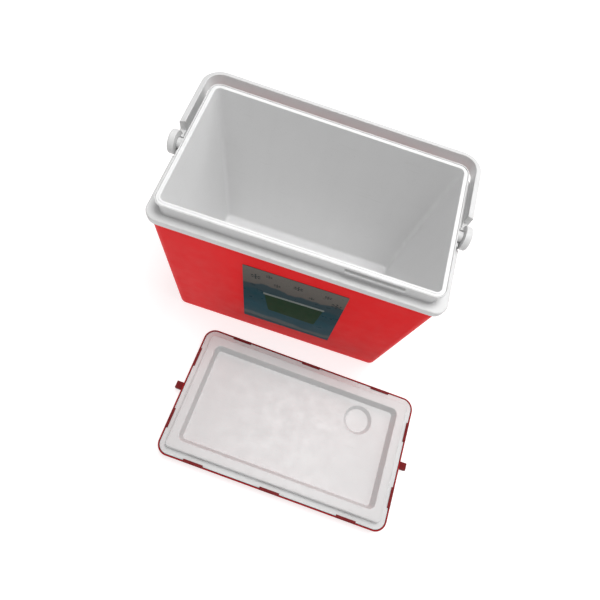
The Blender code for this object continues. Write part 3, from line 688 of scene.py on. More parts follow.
@dataclass
class CoolBox:
    """Shell, tub, collar and pins: everything that stands on the ground."""

    flange_top: float = 309.7 * MM
    flange_lip: float = 10.9 * MM
    flange_corner: float = 18.5 * MM
    core_corner: float = 24 * MM
    neck_step: float = 8.5 * MM
    neck_setback: float = 3.5 * MM
    bead_height: float = 4 * MM
    ridge_width: float = 2.8 * MM
    lip_valley: float = 0.9 * MM
    rim_width: float = 7.9 * MM
    bead_width: float = 1.9 * MM
    rim_seat: float = 2.2 * MM
    shell_inset: float = 5 * MM
    shell_taper: tuple[float, float] = (7 * MM, 10 * MM)
    shell_wall: float = 2.2 * MM
    base_round: float = 5 * MM
    liner_wall: float = 2 * MM
    tub_floor: float = 30 * MM
    tub_taper: tuple[float, float] = (17 * MM, 8.5 * MM)
    tub_floor_round: float = 6.5 * MM
    boss_radius: float = 7.5 * MM
    boss_reach: float = 0.9 * MM   # boss's end beyond the core's end
    lug_length: float = 80 * MM
    lug_from_end: float = 58 * MM
    lug_above_flange: float = 13 * MM
    lug_thick: float = 3 * MM
    lug_proud: float = 4.7 * MM
    foot_ring: float = 12 * MM     # width of the ring that the box stands on
    foot_recess: float = 1.2 * MM
    floor_hold: float = 6 * MM     # flat of the tub's floor next to its rounding
    skirt: float = 3 * MM          # how far the collar reaches down inside the shell
    rooted: float = 1 * MM         # how deep bosses, ribs and lug stand in the wall
    rib_at: float = 11.8 * MM      # stop ribs, either side of the pivot
    rib_half: float = 3 * MM
    rib_below_pivot: float = 2.3 * MM
    rib_behind: float = 0.8 * MM   # core's end to the ribs' faces
    hub_room: float = 0.8 * MM     # under the handle's hubs
    hub_side_room: float = 2 * MM  # beside the handle's hubs
    pin_bore: float = 4.25 * MM
    pin_shank: float = 4 * MM
    flange: Plan = field(init=False)
    core: Plan = field(init=False)
    rim_top: float = field(init=False)
    shell_top: float = field(init=False)
    pivot_height: float = field(init=False)
    arm_outer: float = field(init=False)   # outermost face of the handle's hubs

    def __post_init__(self) -> None:
        """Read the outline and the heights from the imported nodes."""
        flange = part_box("rim_collar")[1]
        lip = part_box("inner_liner")[1]
        self.rim_top = lip.z
        self.flange = Plan(flange.x, flange.y, self.flange_corner)
        self.core = Plan(lip.x + flange.y - lip.y, flange.y, self.core_corner)
        self.shell_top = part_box("outer_shell")[1].z
        pin_low, pin_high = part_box("pivot_pin_right")
        self.pivot_height = pin_low.z / 2 + pin_high.z / 2
        self.arm_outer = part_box("handle")[1].x

    @property
    def flange_bottom(self) -> float:
        """Height of the flange's underside."""
        return self.flange_top - self.flange_lip

    def shell_lean(self, height: float) -> tuple[float, float]:
        """Return how far the shell's end and long walls have leaned in at a height."""
        share = max(0.0, (self.flange_bottom - height) / self.flange_bottom)
        return self.shell_taper[0] * share, self.shell_taper[1] * share

    def tub_lean(self, height: float) -> tuple[float, float]:
        """Return how far the tub's end and long walls have leaned in at a height."""
        share = max(0.0, (self.rim_top - height) / (self.rim_top - self.tub_floor))
        return self.tub_taper[0] * share, self.tub_taper[1] * share

    def build_shell(self, finishes: Finishes) -> None:
        """Red bucket with a rounded foot and a shallow recess underneath."""
        plan = self.flange.inset(self.shell_inset)
        wall, foot, recess, top = self.shell_wall, self.foot_ring, self.foot_recess, self.shell_top
        floor_edge = foot + 4 * MM
        profile = soften([
            (floor_edge, recess, 0), (foot + 0.8 * MM, recess, 0.6 * MM),
            (foot, 0.0, 0.6 * MM), (0.0, 0.0, self.base_round),
            (0.0, top, 0.4 * MM), (wall, top, 0.4 * MM),
            (wall, recess + wall, self.base_round - wall / 2), (floor_edge, recess + wall, 0),
        ])
        bm = sweep_round(plan, profile)
        lean_in(bm, self.shell_lean)
        cap_open_loops(bm)
        make_piece(bm, "shell", finishes.red, Body.BOX, ["outer_shell"])

    def build_tub(self, finishes: Finishes) -> None:
        """White tub: rolled lip, drafted walls and a rounded floor."""
        plan = self.core.inset(self.neck_step + self.rim_width)
        wall = self.liner_wall
        lip_out = self.rim_width - self.bead_width - GAP
        lip_under = self.rim_top - self.rim_seat + GAP
        valley = self.rim_top - self.lip_valley
        round_in = self.tub_floor_round
        floor_edge = round_in + self.floor_hold
        profile = soften([
            (floor_edge, self.tub_floor - wall, 0),
            (-wall, self.tub_floor - wall, round_in + wall),
            (-wall, lip_under, 0.4 * MM), (-lip_out, lip_under, 0),
            (-lip_out, valley, 0.2 * MM), (-self.ridge_width, valley, 0.5 * MM),
            (-self.ridge_width, self.rim_top, 0.7 * MM), (0.0, self.rim_top, 1.0 * MM),
            (0.0, self.tub_floor, round_in), (floor_edge, self.tub_floor, 0),
        ], steps=6)
        profile = [(min(inset, plan.corner - 0.4 * MM), height) for inset, height in profile]
        bm = sweep_round(plan, profile)
        lean_in(bm, self.tub_lean)
        cap_open_loops(bm, 0.2 * MM)
        # the tub's brighter white is painted light against the shade inside it
        make_piece(bm, "tub", finishes.tub_white, Body.BOX, ["inner_liner"])

    def build_collar(self, finishes: Finishes) -> None:
        """White collar: flange, neck under a bead, bosses, stop ribs and lug."""
        bottom, top, rim = self.flange_bottom, self.flange_top, self.rim_top
        neck, bead = self.neck_step, self.neck_step + self.bead_width
        neck_in = neck + self.rim_width - self.liner_wall - GAP
        wall, bead_low = neck + self.neck_setback, rim - self.bead_height
        groove_in = self.shell_inset + self.shell_wall + GAP
        groove_top = self.shell_top + GAP
        seat, skirt = rim - self.rim_seat, bottom - self.skirt
        profile = soften([
            (0.0, bottom, 1.4 * MM), (0.0, top, 2.2 * MM), (wall, top, 0.9 * MM),
            (wall, bead_low, 1.0 * MM), (neck, bead_low, 0.8 * MM), (neck, rim, 0.9 * MM),
            (bead, rim, 0.7 * MM), (bead, seat, 0), (neck_in, seat, 0),
            (neck_in, skirt, 0), (groove_in, skirt, 0), (groove_in, groove_top, 0),
            (self.shell_inset - GAP, groove_top, 0), (self.shell_inset - GAP, bottom, 0.3 * MM),
        ], closed=True)
        bm = sweep_round(self.core, profile, closed=True)
        reshape(bm, self.core, self.flange, beyond=neck - 0.2 * MM)
        bm = carve(bm, joined(self.collar_fittings()), Cut.ADD)
        bm = carve(bm, joined(self.pin_holes() + self.hub_pockets()), Cut.REMOVE)
        make_piece(bm, "collar", finishes.white, Body.BOX, ["rim_collar"])

    def collar_fittings(self) -> list[bmesh.types.BMesh]:
        """Return the bosses, the stop ribs and the lug that stand on the collar."""
        start = self.core.half_x - self.neck_step - self.neck_setback - self.rooted
        reach = self.core.half_x + self.boss_reach - start
        boss = soften([(0, 0, 0), (self.boss_radius, 0, 0),
                       (self.boss_radius, reach, 0.5 * MM), (0, reach, 0)])
        shapes = [turned(boss, Matrix.Translation((start, 0, self.pivot_height)) @ ALONG_X)]
        rib_face = self.core.half_x - self.rib_behind
        rib_top = self.pivot_height - self.rib_below_pivot
        for middle in (-self.rib_at, self.rib_at):
            shapes.append(block((start, middle - self.rib_half, self.flange_top - self.rooted),
                                (rib_face, middle + self.rib_half, rib_top), 0.5 * MM))
        shapes = both_ends(*shapes)
        lug_end = self.core.half_x - self.lug_from_end
        lug_low = self.flange_top + self.lug_above_flange
        neck_front = -(self.core.half_y - self.neck_step - self.neck_setback)
        shapes.append(block((lug_end - self.lug_length, neck_front - self.lug_proud, lug_low),
                            (lug_end, neck_front + self.rooted, lug_low + self.lug_thick),
                            0.7 * MM))
        return shapes

    def hub_pockets(self) -> list[bmesh.types.BMesh]:
        """Return the blocks that cut room in the flange's ends for the handle's hubs."""
        hub_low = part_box("handle")[0]
        above = self.pivot_height - self.flange_top
        half = sqrt(hub_low.y ** 2 - above ** 2) + self.hub_side_room
        rounding = 1 * MM
        past = OVERSHOOT + rounding
        start = self.core.half_x + self.boss_reach - 0.1 * MM
        return both_ends(block((start, -half, hub_low.z - self.hub_room),
                               (self.flange.half_x + past, half, self.flange_top + past), rounding))

    def pin_drills(self, start: float, length: float) -> list[bmesh.types.BMesh]:
        """Return two drills on the pivot axis, one at each end, from a distance outwards."""
        radius = self.pin_bore
        return both_ends(turned([(0, 0), (radius, 0), (radius, length), (0, length)],
                                Matrix.Translation((start, 0, self.pivot_height)) @ ALONG_X))

    def pin_holes(self) -> list[bmesh.types.BMesh]:
        """Return the drills that open both bosses for their pins."""
        hole_floor = self.core.half_x - self.neck_step - 2.3 * MM
        return self.pin_drills(hole_floor, length=20 * MM)

    def build_pins(self, finishes: Finishes) -> None:
        """Headed pins with a domed cap, one at each end of the handle."""
        low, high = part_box("pivot_pin_right")
        head, shank = (high.z - low.z) / 2, self.pin_shank
        under_head = self.arm_outer + GAP - low.x
        full = high.x - low.x
        dish, dish_flat, dish_floor = 2.4 * MM, 1.8 * MM, full - 0.5 * MM
        profile = soften([
            (0, 0, 0), (shank, 0, 0.5 * MM), (shank, under_head, 0), (head, under_head, 0.3 * MM),
            (head, full, 1.1 * MM), (dish, full, 0.3 * MM), (dish_flat, dish_floor, 0.3 * MM),
            (0, dish_floor, 0),
        ])
        place = Matrix.Translation((low.x, 0, self.pivot_height)) @ ALONG_X
        for pin, side in zip(both_ends(turned(profile, place)), ("right", "left")):
            make_piece(pin, f"pin_{side}", finishes.white, Body.BOX,
                       [f"pivot_pin_{side}"])

    def build(self, finishes: Finishes) -> None:
        """Make every piece of the box."""
        self.build_shell(finishes)
        self.build_tub(finishes)
        self.build_collar(finishes)
        self.build_pins(finishes)


# ---- handle --------------------------------------------------------------------


@dataclass
class BailHandle:
    """Bail that hinges on the box: strap with an inner ridge, hubs and lock notches."""

    box: CoolBox
    thick: float = 8.6 * MM
    corner: float = 30 * MM
    slope: float = 2.6 * MM        # how far the top falls towards the outside
    ridge: float = 1.9 * MM        # width of the raised inner edge
    hub_radius: float = 16.5 * MM
    notch_end: float = 29.2 * MM
    notch_floor: float = 3.2 * MM
    nib: float = 4 * MM
    half_height: float = 10 * MM
    hub_proud: float = 0.4 * MM    # hub's faces beyond the strap's
    ring_out: float = 11.2 * MM    # ring groove round the pin's head
    ring_in: float = 9.2 * MM
    ring_side: float = 0.4 * MM
    ring_depth: float = 0.6 * MM
    outer: float = field(init=False)
    reach: float = field(init=False)

    def __post_init__(self) -> None:
        """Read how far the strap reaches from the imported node."""
        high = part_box("handle")[1]
        self.outer = high.x - self.hub_proud
        self.reach = high.y

    def build(self, finishes: Finishes) -> None:
        """Make the handle in one piece."""
        bm = carve(self.strap(), joined(self.notches()), Cut.REMOVE)
        bm = carve(bm, joined(self.hubs()), Cut.ADD)
        bm = carve(bm, joined(self.bores()), Cut.REMOVE)
        make_piece(bm, "bail", finishes.white, Body.HANDLE, ["handle"])

    def strap(self) -> bmesh.types.BMesh:
        """Return the strap, hub to hub, with the section of a ridged flat bar."""
        low = self.box.pivot_height - self.half_height
        high = self.box.pivot_height + self.half_height
        section = soften([
            (0.0, low, 1.6 * MM), (0.0, high - self.slope, 1.8 * MM),
            (self.thick - self.ridge, high - 0.9 * MM, 0.5 * MM),
            (self.thick - self.ridge, high, 0.7 * MM), (self.thick, high, 0.9 * MM),
            (self.thick, low, 1.4 * MM),
        ], closed=True)
        bm = bmesh.new()
        geom = start_profile(bm, section, Vector((self.outer, 0, 0)), Vector((-1, 0, 0)), True)
        near = self.reach - self.corner
        side = self.outer - self.corner
        geom = run_straight(bm, geom, Vector((0, near, 0)), 8)
        geom = run_corner(bm, geom, Vector((side, near, 0)), CORNER_STEPS + 4)
        geom = run_straight(bm, geom, Vector((-2 * side, 0, 0)), 16)
        geom = run_corner(bm, geom, Vector((-side, near, 0)), CORNER_STEPS + 4)
        run_straight(bm, geom, Vector((0, -near, 0)), 8)
        bmesh.ops.remove_doubles(bm, verts=bm.verts[:], dist=WELD)
        bmesh.ops.holes_fill(bm, edges=[edge for edge in bm.edges if edge.is_boundary], sides=0)
        return bm

    def notches(self) -> list[bmesh.types.BMesh]:
        """Return the cutters of the two lock notches, open to the top."""
        floor = self.box.pivot_height - self.half_height + self.notch_floor
        top = self.box.pivot_height + self.half_height + OVERSHOOT
        return both_ends(block((self.outer - self.thick - OVERSHOOT, -OVERSHOOT, floor),
                               (self.outer + OVERSHOOT, self.notch_end, top), 1.2 * MM))

    def hubs(self) -> list[bmesh.types.BMesh]:
        """Return both hubs, each with a ring groove, and the stop nibs inside them."""
        deep = self.thick + 2 * self.hub_proud
        inner = self.outer - self.thick - self.hub_proud
        ring_floor = deep - self.ring_depth
        profile = soften([
            (0, 0, 0), (self.hub_radius, 0, 0.5 * MM), (self.hub_radius, deep, 2.6 * MM),
            (self.ring_out, deep, 0.3 * MM), (self.ring_out - self.ring_side, ring_floor, 0.3 * MM),
            (self.ring_in + self.ring_side, ring_floor, 0.3 * MM), (self.ring_in, deep, 0.3 * MM),
            (0, deep, 0),
        ])
        pivot, at, half = self.box.pivot_height, self.box.rib_at, self.nib / 2
        hub = turned(profile, Matrix.Translation((inner, 0, pivot)) @ ALONG_X)
        nib = block((inner - self.nib, at - half, pivot - half),
                    (inner + self.box.rooted, at + half, pivot + half), 0.4 * MM)
        return both_ends(hub, nib)

    def bores(self) -> list[bmesh.types.BMesh]:
        """Return the drills for the pins."""
        return self.box.pin_drills(self.outer - self.thick - OVERSHOOT,
                                   length=self.thick + 2 * OVERSHOOT)


# ---- lid -----------------------------------------------------------------------


@dataclass
class Lid:
    """Upturned lid: red skin, white tray panel, hooks and lock pegs."""

    box: CoolBox
    over: float = 4 * MM           # edge of the box's core to the lid's rim
    height: float = 27.6 * MM
    wall: float = 2.2 * MM
    top_round: float = 6 * MM
    draft: float = 1.3 * MM
    panel_wall: float = 2 * MM
    plug_clear: float = 0.5 * MM
    plug_height: float = 14 * MM
    plug_draft: float = 1 * MM
    shoulder: float = 15 * MM
    tray_depth: float = 17.6 * MM
    tray_corner: float = 10 * MM
    tray_draft: float = 4.5 * MM
    dimple_at: tuple[float, float] = (107.5 * MM, 48 * MM)
    dimple_radius: float = 24.5 * MM
    dimple_floor_radius: float = 19.8 * MM
    dimple_depth: float = 7.5 * MM
    clip_length: float = 33 * MM
    clip_cover: float = 5.2 * MM
    clip_notch: float = 4.9 * MM   # lid's rim to the inner side of a hook's notch
    peg_half: tuple[float, float] = (6.3 * MM, 5.25 * MM)
    peg_reach: float = 12 * MM
    place: Matrix = field(init=False)
    peg_height: float = field(init=False)
    plan: Plan = field(init=False)
    shoulder_top: float = field(init=False)
    tray_floor: float = field(init=False)
    plug_in: float = field(init=False)
    tray: Plan = field(init=False)

    def __post_init__(self) -> None:
        """Work out where the lid lies from its two pegs."""
        middles = [sum(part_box(f"lid_lock_peg_{side}"), Vector()) / 2 for side in ("left", "right")]
        across = middles[1] - middles[0]
        centre = (middles[0] + middles[1]) / 2
        turn = atan(across.y / across.x)
        self.place = Matrix.Translation((centre.x, centre.y, 0)) @ Matrix.Rotation(turn, 4, "Z")
        self.peg_height = centre.z
        self.plan = self.box.core.inset(self.over)
        self.shoulder_top = self.height + self.plug_height
        self.tray_floor = self.shoulder_top - self.tray_depth
        self.plug_in = self.box.neck_step + self.box.rim_width + self.plug_clear - self.over
        tray_in = self.plug_in + self.plug_draft + self.shoulder
        self.tray = Plan(self.plan.half_x - tray_in, self.plan.half_y - tray_in, self.tray_corner)

    def lean(self, height: float) -> tuple[float, float]:
        """Return how far the lid's sides have leaned in at a height."""
        share = (self.height - height) / (self.height - self.top_round)
        lean = self.draft * max(0.0, min(1.0, share))
        return lean, lean

    def lay(self, bm: bmesh.types.BMesh) -> bmesh.types.BMesh:
        """Move a shape from the lid's own frame to where the lid lies."""
        bmesh.ops.transform(bm, matrix=self.place, verts=bm.verts[:])
        return bm

    def build_skin(self, finishes: Finishes) -> None:
        """Red outer skin, face down, with windows for the pegs."""
        wall, inside = self.wall, 12 * MM
        profile = soften([
            (inside, 0.0, 0), (0.0, 0.0, self.top_round), (0.0, self.height, 0.5 * MM),
            (wall, self.height, 0.5 * MM), (wall, wall + 0.4 * MM, self.top_round - wall),
            (inside, wall + 0.4 * MM, 0),
        ], steps=6)
        bm = sweep_round(self.plan, profile)
        lean_in(bm, self.lean)
        cap_open_loops(bm)
        bm = carve(bm, joined(self.peg_windows()), Cut.REMOVE)
        make_piece(self.lay(bm), "lid_skin", finishes.lid_red, Body.LID, ["lid_shell"])

    def peg_windows(self) -> list[bmesh.types.BMesh]:
        """Return the cutters of the holes that the pegs stand in."""
        half_y, half_z = (half + GAP for half in self.peg_half)
        root, end = self.plan.half_x - self.wall - OVERSHOOT, self.plan.half_x + OVERSHOOT
        return both_ends(block((root, -half_y, self.peg_height - half_z),
                               (end, half_y, self.peg_height + half_z)))

    def build_panel(self, finishes: Finishes) -> None:
        """White panel: edge band, raised plug, tray and round dimple, in one moulding."""
        edge = self.wall + 2 * GAP
        band = self.height - 0.2 * MM
        wall, top, floor = self.panel_wall, self.shoulder_top, self.tray_floor
        crown = self.plug_in + self.plug_draft
        corner_in = self.tray.corner - 1 * MM
        near_corner = self.plan.corner - 1 * MM
        outside = soften([
            (near_corner, top - wall, 0), (crown + wall, top - wall, 1 * MM),
            (self.plug_in + wall, band - wall, 0.8 * MM), (edge, band - wall, 0),
            (edge, band, 0.7 * MM), (self.plug_in, band, 1.4 * MM), (crown, top, 1.8 * MM),
            (near_corner, top, 0),
        ])
        inside = soften([
            (-3 * MM, top, 0), (0.0, top, 2 * MM), (self.tray_draft, floor, 1.7 * MM),
            (corner_in, floor, 0),
        ])
        under = soften([
            (corner_in, floor - wall, 0), (self.tray_draft - wall, floor - wall, 2.4 * MM),
            (-wall, top - wall, 1.0 * MM), (-wall - 1 * MM, top - wall, 0),
        ])
        outer = sweep_round(self.plan, outside)
        inner = sweep_round(self.tray, inside)
        below = sweep_round(self.tray, under)
        bm = joined([outer, inner, below])
        self.bridge_level(bm, top)
        self.bridge_level(bm, top - wall)
        bmesh.ops.remove_doubles(bm, verts=bm.verts[:], dist=WELD)
        bmesh.ops.holes_fill(bm, edges=[edge for edge in bm.edges if edge.is_boundary], sides=0)
        bm = carve(bm, joined(self.clip_notches(band)), Cut.REMOVE)
        bm = carve(bm, self.dimple(wall, 0.0), Cut.ADD)
        bm = carve(bm, self.dimple(0.0, 2 * MM), Cut.REMOVE)
        make_piece(self.lay(bm), "lid_tray", finishes.white, Body.LID, ["lid_panel"])

    @staticmethod
    def bridge_level(bm: bmesh.types.BMesh, level: float) -> None:
        """Join the two open loops that lie at one height with a flat strip."""
        loops = [edge for edge in bm.edges if edge.is_boundary
                 and all(abs(vert.co.z - level) < WELD for vert in edge.verts)]
        bmesh.ops.bridge_loops(bm, edges=loops)

    def dimple(self, wall: float, flare: float) -> bmesh.types.BMesh:
        """Return the dimple as a turned shape.

        Args:
            wall: How much larger than the hollow it is all round.
            flare: Radius of the rounding where it meets the tray floor.

        Returns:
            The closed shape, upright at the dimple's place.
        """
        floor = self.tray_floor - self.dimple_depth - wall
        top = self.tray_floor + (OVERSHOOT if wall == 0 else -self.panel_wall / 2)
        corners = [(0, floor, 0), (self.dimple_floor_radius + wall, floor, 1.5 * MM)]
        if flare > 0:
            corners += [(self.dimple_radius, self.tray_floor, flare),
                        (self.dimple_radius + 2 * flare, self.tray_floor + 0.02 * MM, 0),
                        (self.dimple_radius + 2 * flare, top, 0)]
        else:
            corners.append((self.dimple_radius + wall, top, 0))
        corners.append((0, top, 0))
        return turned(soften(corners), Matrix.Translation((*self.dimple_at, 0)))

    def clips(self) -> Iterable[tuple[str, Matrix]]:
        """Yield each hook's CAD node and the matrix from a hook's own frame to the lid's."""
        turns = {"rear": (0.0, self.plan.half_y), "front": (pi, self.plan.half_y),
                 "left": (pi / 2, self.plan.half_x), "right": (-pi / 2, self.plan.half_x)}
        for node in sorted(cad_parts):
            if not node.startswith("lid_clip_"):
                continue
            turn, edge = turns[node.split("_")[2]]
            spin = Matrix.Rotation(turn, 4, "Z")
            low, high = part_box(node)
            middle = spin.inverted() @ self.place.inverted() @ ((low + high) / 2)
            yield node, spin @ Matrix.Translation((middle.x, edge, 0))

    def clip_notches(self, band: float) -> list[bmesh.types.BMesh]:
        """Return the cutters that let each hook through the panel's edge band."""
        half = self.clip_length / 2 + GAP
        cutters = []
        for _, matrix in self.clips():
            cut = block((-half, -self.clip_notch, band - 2 * self.panel_wall),
                        (half, self.wall, band + OVERSHOOT))
            bmesh.ops.transform(cut, matrix=matrix, verts=cut.verts[:])
            cutters.append(cut)
        return cutters

    def build_clips(self, finishes: Finishes) -> None:
        """Ten red hooks that hold the panel under the rim."""
        half, bar = self.clip_length / 2, self.height + GAP
        bar_out, bar_top, leg_out, leg_in = 0.4 * MM, bar + 1.7 * MM, 3.0 * MM, 4.6 * MM
        leg_end = bar - 8.5 * MM
        section = soften([
            (bar_out, bar, 0.2 * MM), (bar_out, bar_top, 0.8 * MM),
            (self.clip_cover, bar_top, 0.7 * MM), (self.clip_cover, bar, 0.2 * MM),
            (leg_in, bar, 0.3 * MM), (leg_in, leg_end, 0.5 * MM),
            (leg_out, leg_end, 0.3 * MM), (leg_out, bar, 0),
        ], closed=True, steps=3)
        for node, matrix in self.clips():
            bm = extruded([Vector((-half, -inset, height)) for inset, height in section],
                          Vector((2 * half, 0, 0)))
            ends = [edge for edge in bm.edges
                    if all(abs(abs(vert.co.x) - half) < WELD for vert in edge.verts)]
            bmesh.ops.bevel(bm, geom=ends, offset=0.15 * MM, offset_type="OFFSET", segments=2,
                            profile=0.5, affect="EDGES", material=-1)
            bmesh.ops.transform(bm, matrix=matrix, verts=bm.verts[:])
            make_piece(self.lay(bm), node.replace("lid_clip", "hook"), finishes.hook_red,
                       Body.LID, [node])

    def build_pegs(self, finishes: Finishes) -> None:
        """Square lock pegs with a shallow recess in their ends."""
        half_y, half_z = self.peg_half
        root, end = self.plan.half_x - self.wall, self.plan.half_x + self.peg_reach
        peg = block((root, -half_y, self.peg_height - half_z),
                    (end, half_y, self.peg_height + half_z), 0.8 * MM)
        tip = max(peg.faces, key=lambda face: face.calc_center_median().x)
        for border, depth in ((1.6 * MM, 0.0), (0.4 * MM, -0.7 * MM)):
            bmesh.ops.inset_individual(peg, faces=[tip], thickness=border, depth=depth)
        for shape, side in zip(both_ends(peg), ("right", "left")):
            make_piece(self.lay(shape), f"peg_{side}", finishes.hook_red, Body.LID,
                       [f"lid_lock_peg_{side}"])

    def build(self, finishes: Finishes) -> None:
        """Make every piece of the lid."""
        self.build_skin(finishes)
        self.build_panel(finishes)
        self.build_clips(finishes)
        self.build_pegs(finishes)


# ---- label ---------------------------------------------------------------------


@dataclass
class Label:
    """Printed film on the front: a made-up landscape, a tub and snow crystals."""

    box: CoolBox
    width: float = 155 * MM
    height: float = 206 * MM
    thick: float = 0.35 * MM
    corner: float = 2.5 * MM
    tilt: float = radians(1.5)
    ink: float = 0.05 * MM         # how far each printed shape stands proud
    # the printed tub, its rim and the snow, in millimetres from the middle of the label
    tub: Profile = field(default_factory=lambda: [(-35, -42), (44, -45), (51, 31), (-44, 27)])
    tub_rim: Profile = field(
        default_factory=lambda: [(-45, 20), (52, 24), (52.5, 31), (-45.5, 27)])
    snow: tuple[tuple[float, float, float], ...] = (    # across, up and size of each crystal
        (-58, 76, 17), (-38, 88, 11), (-25, 66, 12), (6, 80, 15), (28, 60, 10), (50, 82, 12),
        (66, 60, 19), (-62, 44, 9))
    place: Matrix = field(init=False)

    def __post_init__(self) -> None:
        """Work out the label's plane from its CAD node and the wall's lean."""
        low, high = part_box("front_label")
        lean = atan(self.box.shell_taper[1] / self.box.flange_bottom)
        wall = self.box.flange.half_y - self.box.shell_inset
        middle = (low + high) / 2
        face = -(wall - self.box.shell_lean(middle.z)[1]) - GAP / 2
        self.place = (Matrix.Translation((middle.x, face, middle.z))
                      @ Matrix.Rotation(lean, 4, "X") @ Matrix.Rotation(-self.tilt, 4, "Y"))

    @staticmethod
    def outline(points: Profile) -> list[Vector]:
        """Return points given in millimetres as places in the label's own frame."""
        return [Vector((x * MM, 0, z * MM)) for x, z in points]

    def sheet(self, outline: Sequence[Vector], corner: float, depth: float,
              lift: float) -> bmesh.types.BMesh:
        """Return a thin sheet with rounded corners on the label's plane.

        Args:
            outline: Its corners in the label's own frame.
            corner: Radius of the corners.
            depth: Thickness of the sheet.
            lift: How far its back stands off the wall.

        Returns:
            The closed sheet where it lies on the box.
        """
        bm = bmesh.new()
        bm.faces.new([bm.verts.new(point + Vector((0, -lift, 0))) for point in outline])
        bmesh.ops.bevel(bm, geom=bm.verts[:], offset=corner, offset_type="OFFSET", segments=5,
                        profile=0.5, affect="VERTICES", material=-1)
        pulled = bmesh.ops.extrude_face_region(bm, geom=bm.faces[:])["geom"]
        moved = [item for item in pulled if isinstance(item, bmesh.types.BMVert)]
        bmesh.ops.translate(bm, verts=moved, vec=(0, -depth, 0))
        bmesh.ops.recalc_face_normals(bm, faces=bm.faces[:])
        bmesh.ops.transform(bm, matrix=self.place, verts=bm.verts[:])
        return bm

    def crystal(self, at: tuple[float, float], size: float) -> list[bmesh.types.BMesh]:
        """Return the strokes of a six-armed snow crystal."""
        strokes = []
        stroke = 0.055 * size
        fork, twig, twig_end = 0.28 * size, 0.11 * size, 0.40 * size
        lines = (((0, 0), (0, size / 2)), ((0, fork), (-twig, twig_end)),
                 ((0, fork), (twig, twig_end)))
        for arm in range(6):
            turn = Matrix.Translation((at[0], 0, at[1])) @ Matrix.Rotation(arm * pi / 3, 4, "Y")
            for (x0, z0), (x1, z1) in lines:
                along = Vector((x1 - x0, 0, z1 - z0))
                side = Vector((along.z, 0, -along.x)).normalized() * stroke / 2
                start, end = Vector((x0, 0, z0)), Vector((x1, 0, z1))
                outline = [turn @ point for point in (start - side, start + side, end + side,
                                                      end - side)]
                strokes.append(self.sheet(outline, stroke * 0.3, self.ink, self.thick))
        return strokes

    def build(self) -> None:
        """Make the film and every printed shape on it."""
        half_w, half_h = self.width / 2, self.height / 2
        corners = [Vector((x * half_w, 0, z * half_h))
                   for x, z in ((-1, -1), (1, -1), (1, 1), (-1, 1))]
        film = LandscapePrint("label_landscape", self.place.inverted(), self.height).make()
        middle = self.place.translation.z
        green = PrintInk("label_green", (0.006, 0.032, 0.012), (0.001, 0.034, 0.006),
                         middle - 45 * MM, middle + 30 * MM).make()
        pale = PrintInk("label_pale", (0.21, 0.24, 0.23), (0.14, 0.17, 0.16),
                        middle, middle + 40 * MM).make()
        dark = PrintInk("label_dark", (0.012, 0.022, 0.026), (0.012, 0.022, 0.026),
                        middle, middle + 90 * MM).make()
        strokes = [stroke for x, z, size in self.snow
                   for stroke in self.crystal((x * MM, z * MM), size * MM)]
        printed = (
            ("label", film, self.sheet(corners, self.corner, self.thick, 0.0)),
            ("label_tub", green, self.sheet(self.outline(self.tub), 3 * MM, self.ink, self.thick)),
            ("label_rim", pale, self.sheet(self.outline(self.tub_rim), 2 * MM, self.ink,
                                           self.thick + self.ink)),
            ("label_snow", dark, joined(strokes)),
        )
        for name, ink, shape in printed:
            make_piece(shape, name, ink, Body.BOX,
                       ["front_label"] if name == "label" else ())


# ---- studio --------------------------------------------------------------------


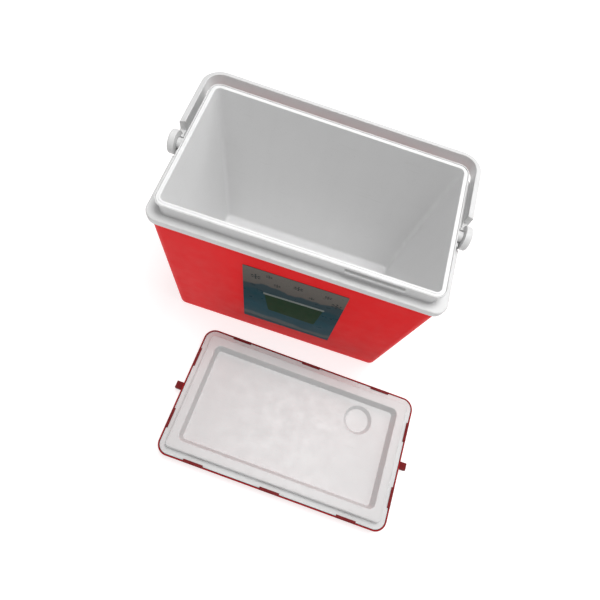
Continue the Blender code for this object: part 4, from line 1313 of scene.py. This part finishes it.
@dataclass
class Studio:
    """Pale floor, soft lights and the camera."""

    eye: tuple[float, float, float] = (0.01737, -0.39057, 0.84244)
    looks_along: tuple[float, float, float] = (0.00597, 0.40073, -0.91618)
    top_of_view: tuple[float, float, float] = (-0.31571, 0.87009, 0.37851)
    focal_mm: float = 28.28
    sensor_mm: float = 36.0
    floor_size: float = 12.0
    floor_drop: float = 0.1 * MM   # floor below the box's foot, so that they don't flicker
    world_strength: float = 0.42

    def set_camera(self) -> None:
        """Put the camera at its place and make it the scene's."""
        lens = bpy.data.cameras.new("studio_camera")
        lens.lens = self.focal_mm
        lens.sensor_width = self.sensor_mm
        lens.clip_start = 0.01
        back = -Vector(self.looks_along).normalized()
        right = Vector(self.top_of_view).cross(back).normalized()
        up = back.cross(right)
        turn = Matrix((right, up, back)).transposed().to_4x4()
        obj = new_object("studio_camera", lens)
        obj.matrix_world = Matrix.Translation(self.eye) @ turn
        bpy.context.scene.camera = obj

    def lay_floor(self) -> None:
        """Lay a wide pale floor at the height that the box stands on."""
        bm = bmesh.new()
        bmesh.ops.create_grid(bm, x_segments=2, y_segments=2, size=self.floor_size / 2)
        bmesh.ops.translate(bm, verts=bm.verts[:], vec=(0, 0, -self.floor_drop))
        mesh = to_mesh(bm, "studio_floor")
        mesh.materials.append(StudioFloor().make())
        new_object("studio_floor", mesh)

    def add_softbox(self, name: str, at: Sequence[float], size: float, power: float) -> None:
        """Hang a square soft light that faces the box."""
        lamp = bpy.data.lights.new(name, "AREA")
        lamp.size = size
        lamp.energy = power
        obj = new_object(name, lamp)
        obj.location = at
        obj.rotation_euler = Vector(at).to_track_quat("Z", "Y").to_euler()

    def build(self) -> None:
        """Set up the whole studio."""
        self.set_camera()
        self.lay_floor()
        self.add_softbox("overhead_light", at=(0.2, 0.05, 1.9), size=0.7, power=20.0)
        self.add_softbox("rear_light", at=(1.3, 1.1, 1.6), size=1.2, power=8.0)
        world = bpy.data.worlds.new("studio_world")
        world.use_nodes = True
        background = world.node_tree.nodes["Background"]
        background.inputs["Color"].default_value = (1.0, 1.0, 1.0, 1.0)
        background.inputs["Strength"].default_value = self.world_strength
        bpy.context.scene.world = world
        bpy.context.scene.view_settings.view_transform = "Standard"


def dress_foam(finish: bpy.types.Material) -> None:
    """Give the hidden foam blocks their bead finish."""
    for node in ("body_foam", "lid_foam"):
        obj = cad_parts[node]
        obj.data.materials.clear()
        obj.data.materials.append(finish)
        LOG.info("%s: kept, new finish", node)


def main() -> None:
    """Build the whole picture in order."""
    logging.basicConfig(level=logging.INFO, format="%(message)s")
    Studio().build()
    finishes = Finishes.mix_up()
    dress_foam(finishes.foam)
    cool_box = CoolBox()
    cool_box.build(finishes)
    BailHandle(cool_box).build(finishes)
    Lid(cool_box).build(finishes)
    Label(cool_box).build()


if __name__ == "__main__":
    main()
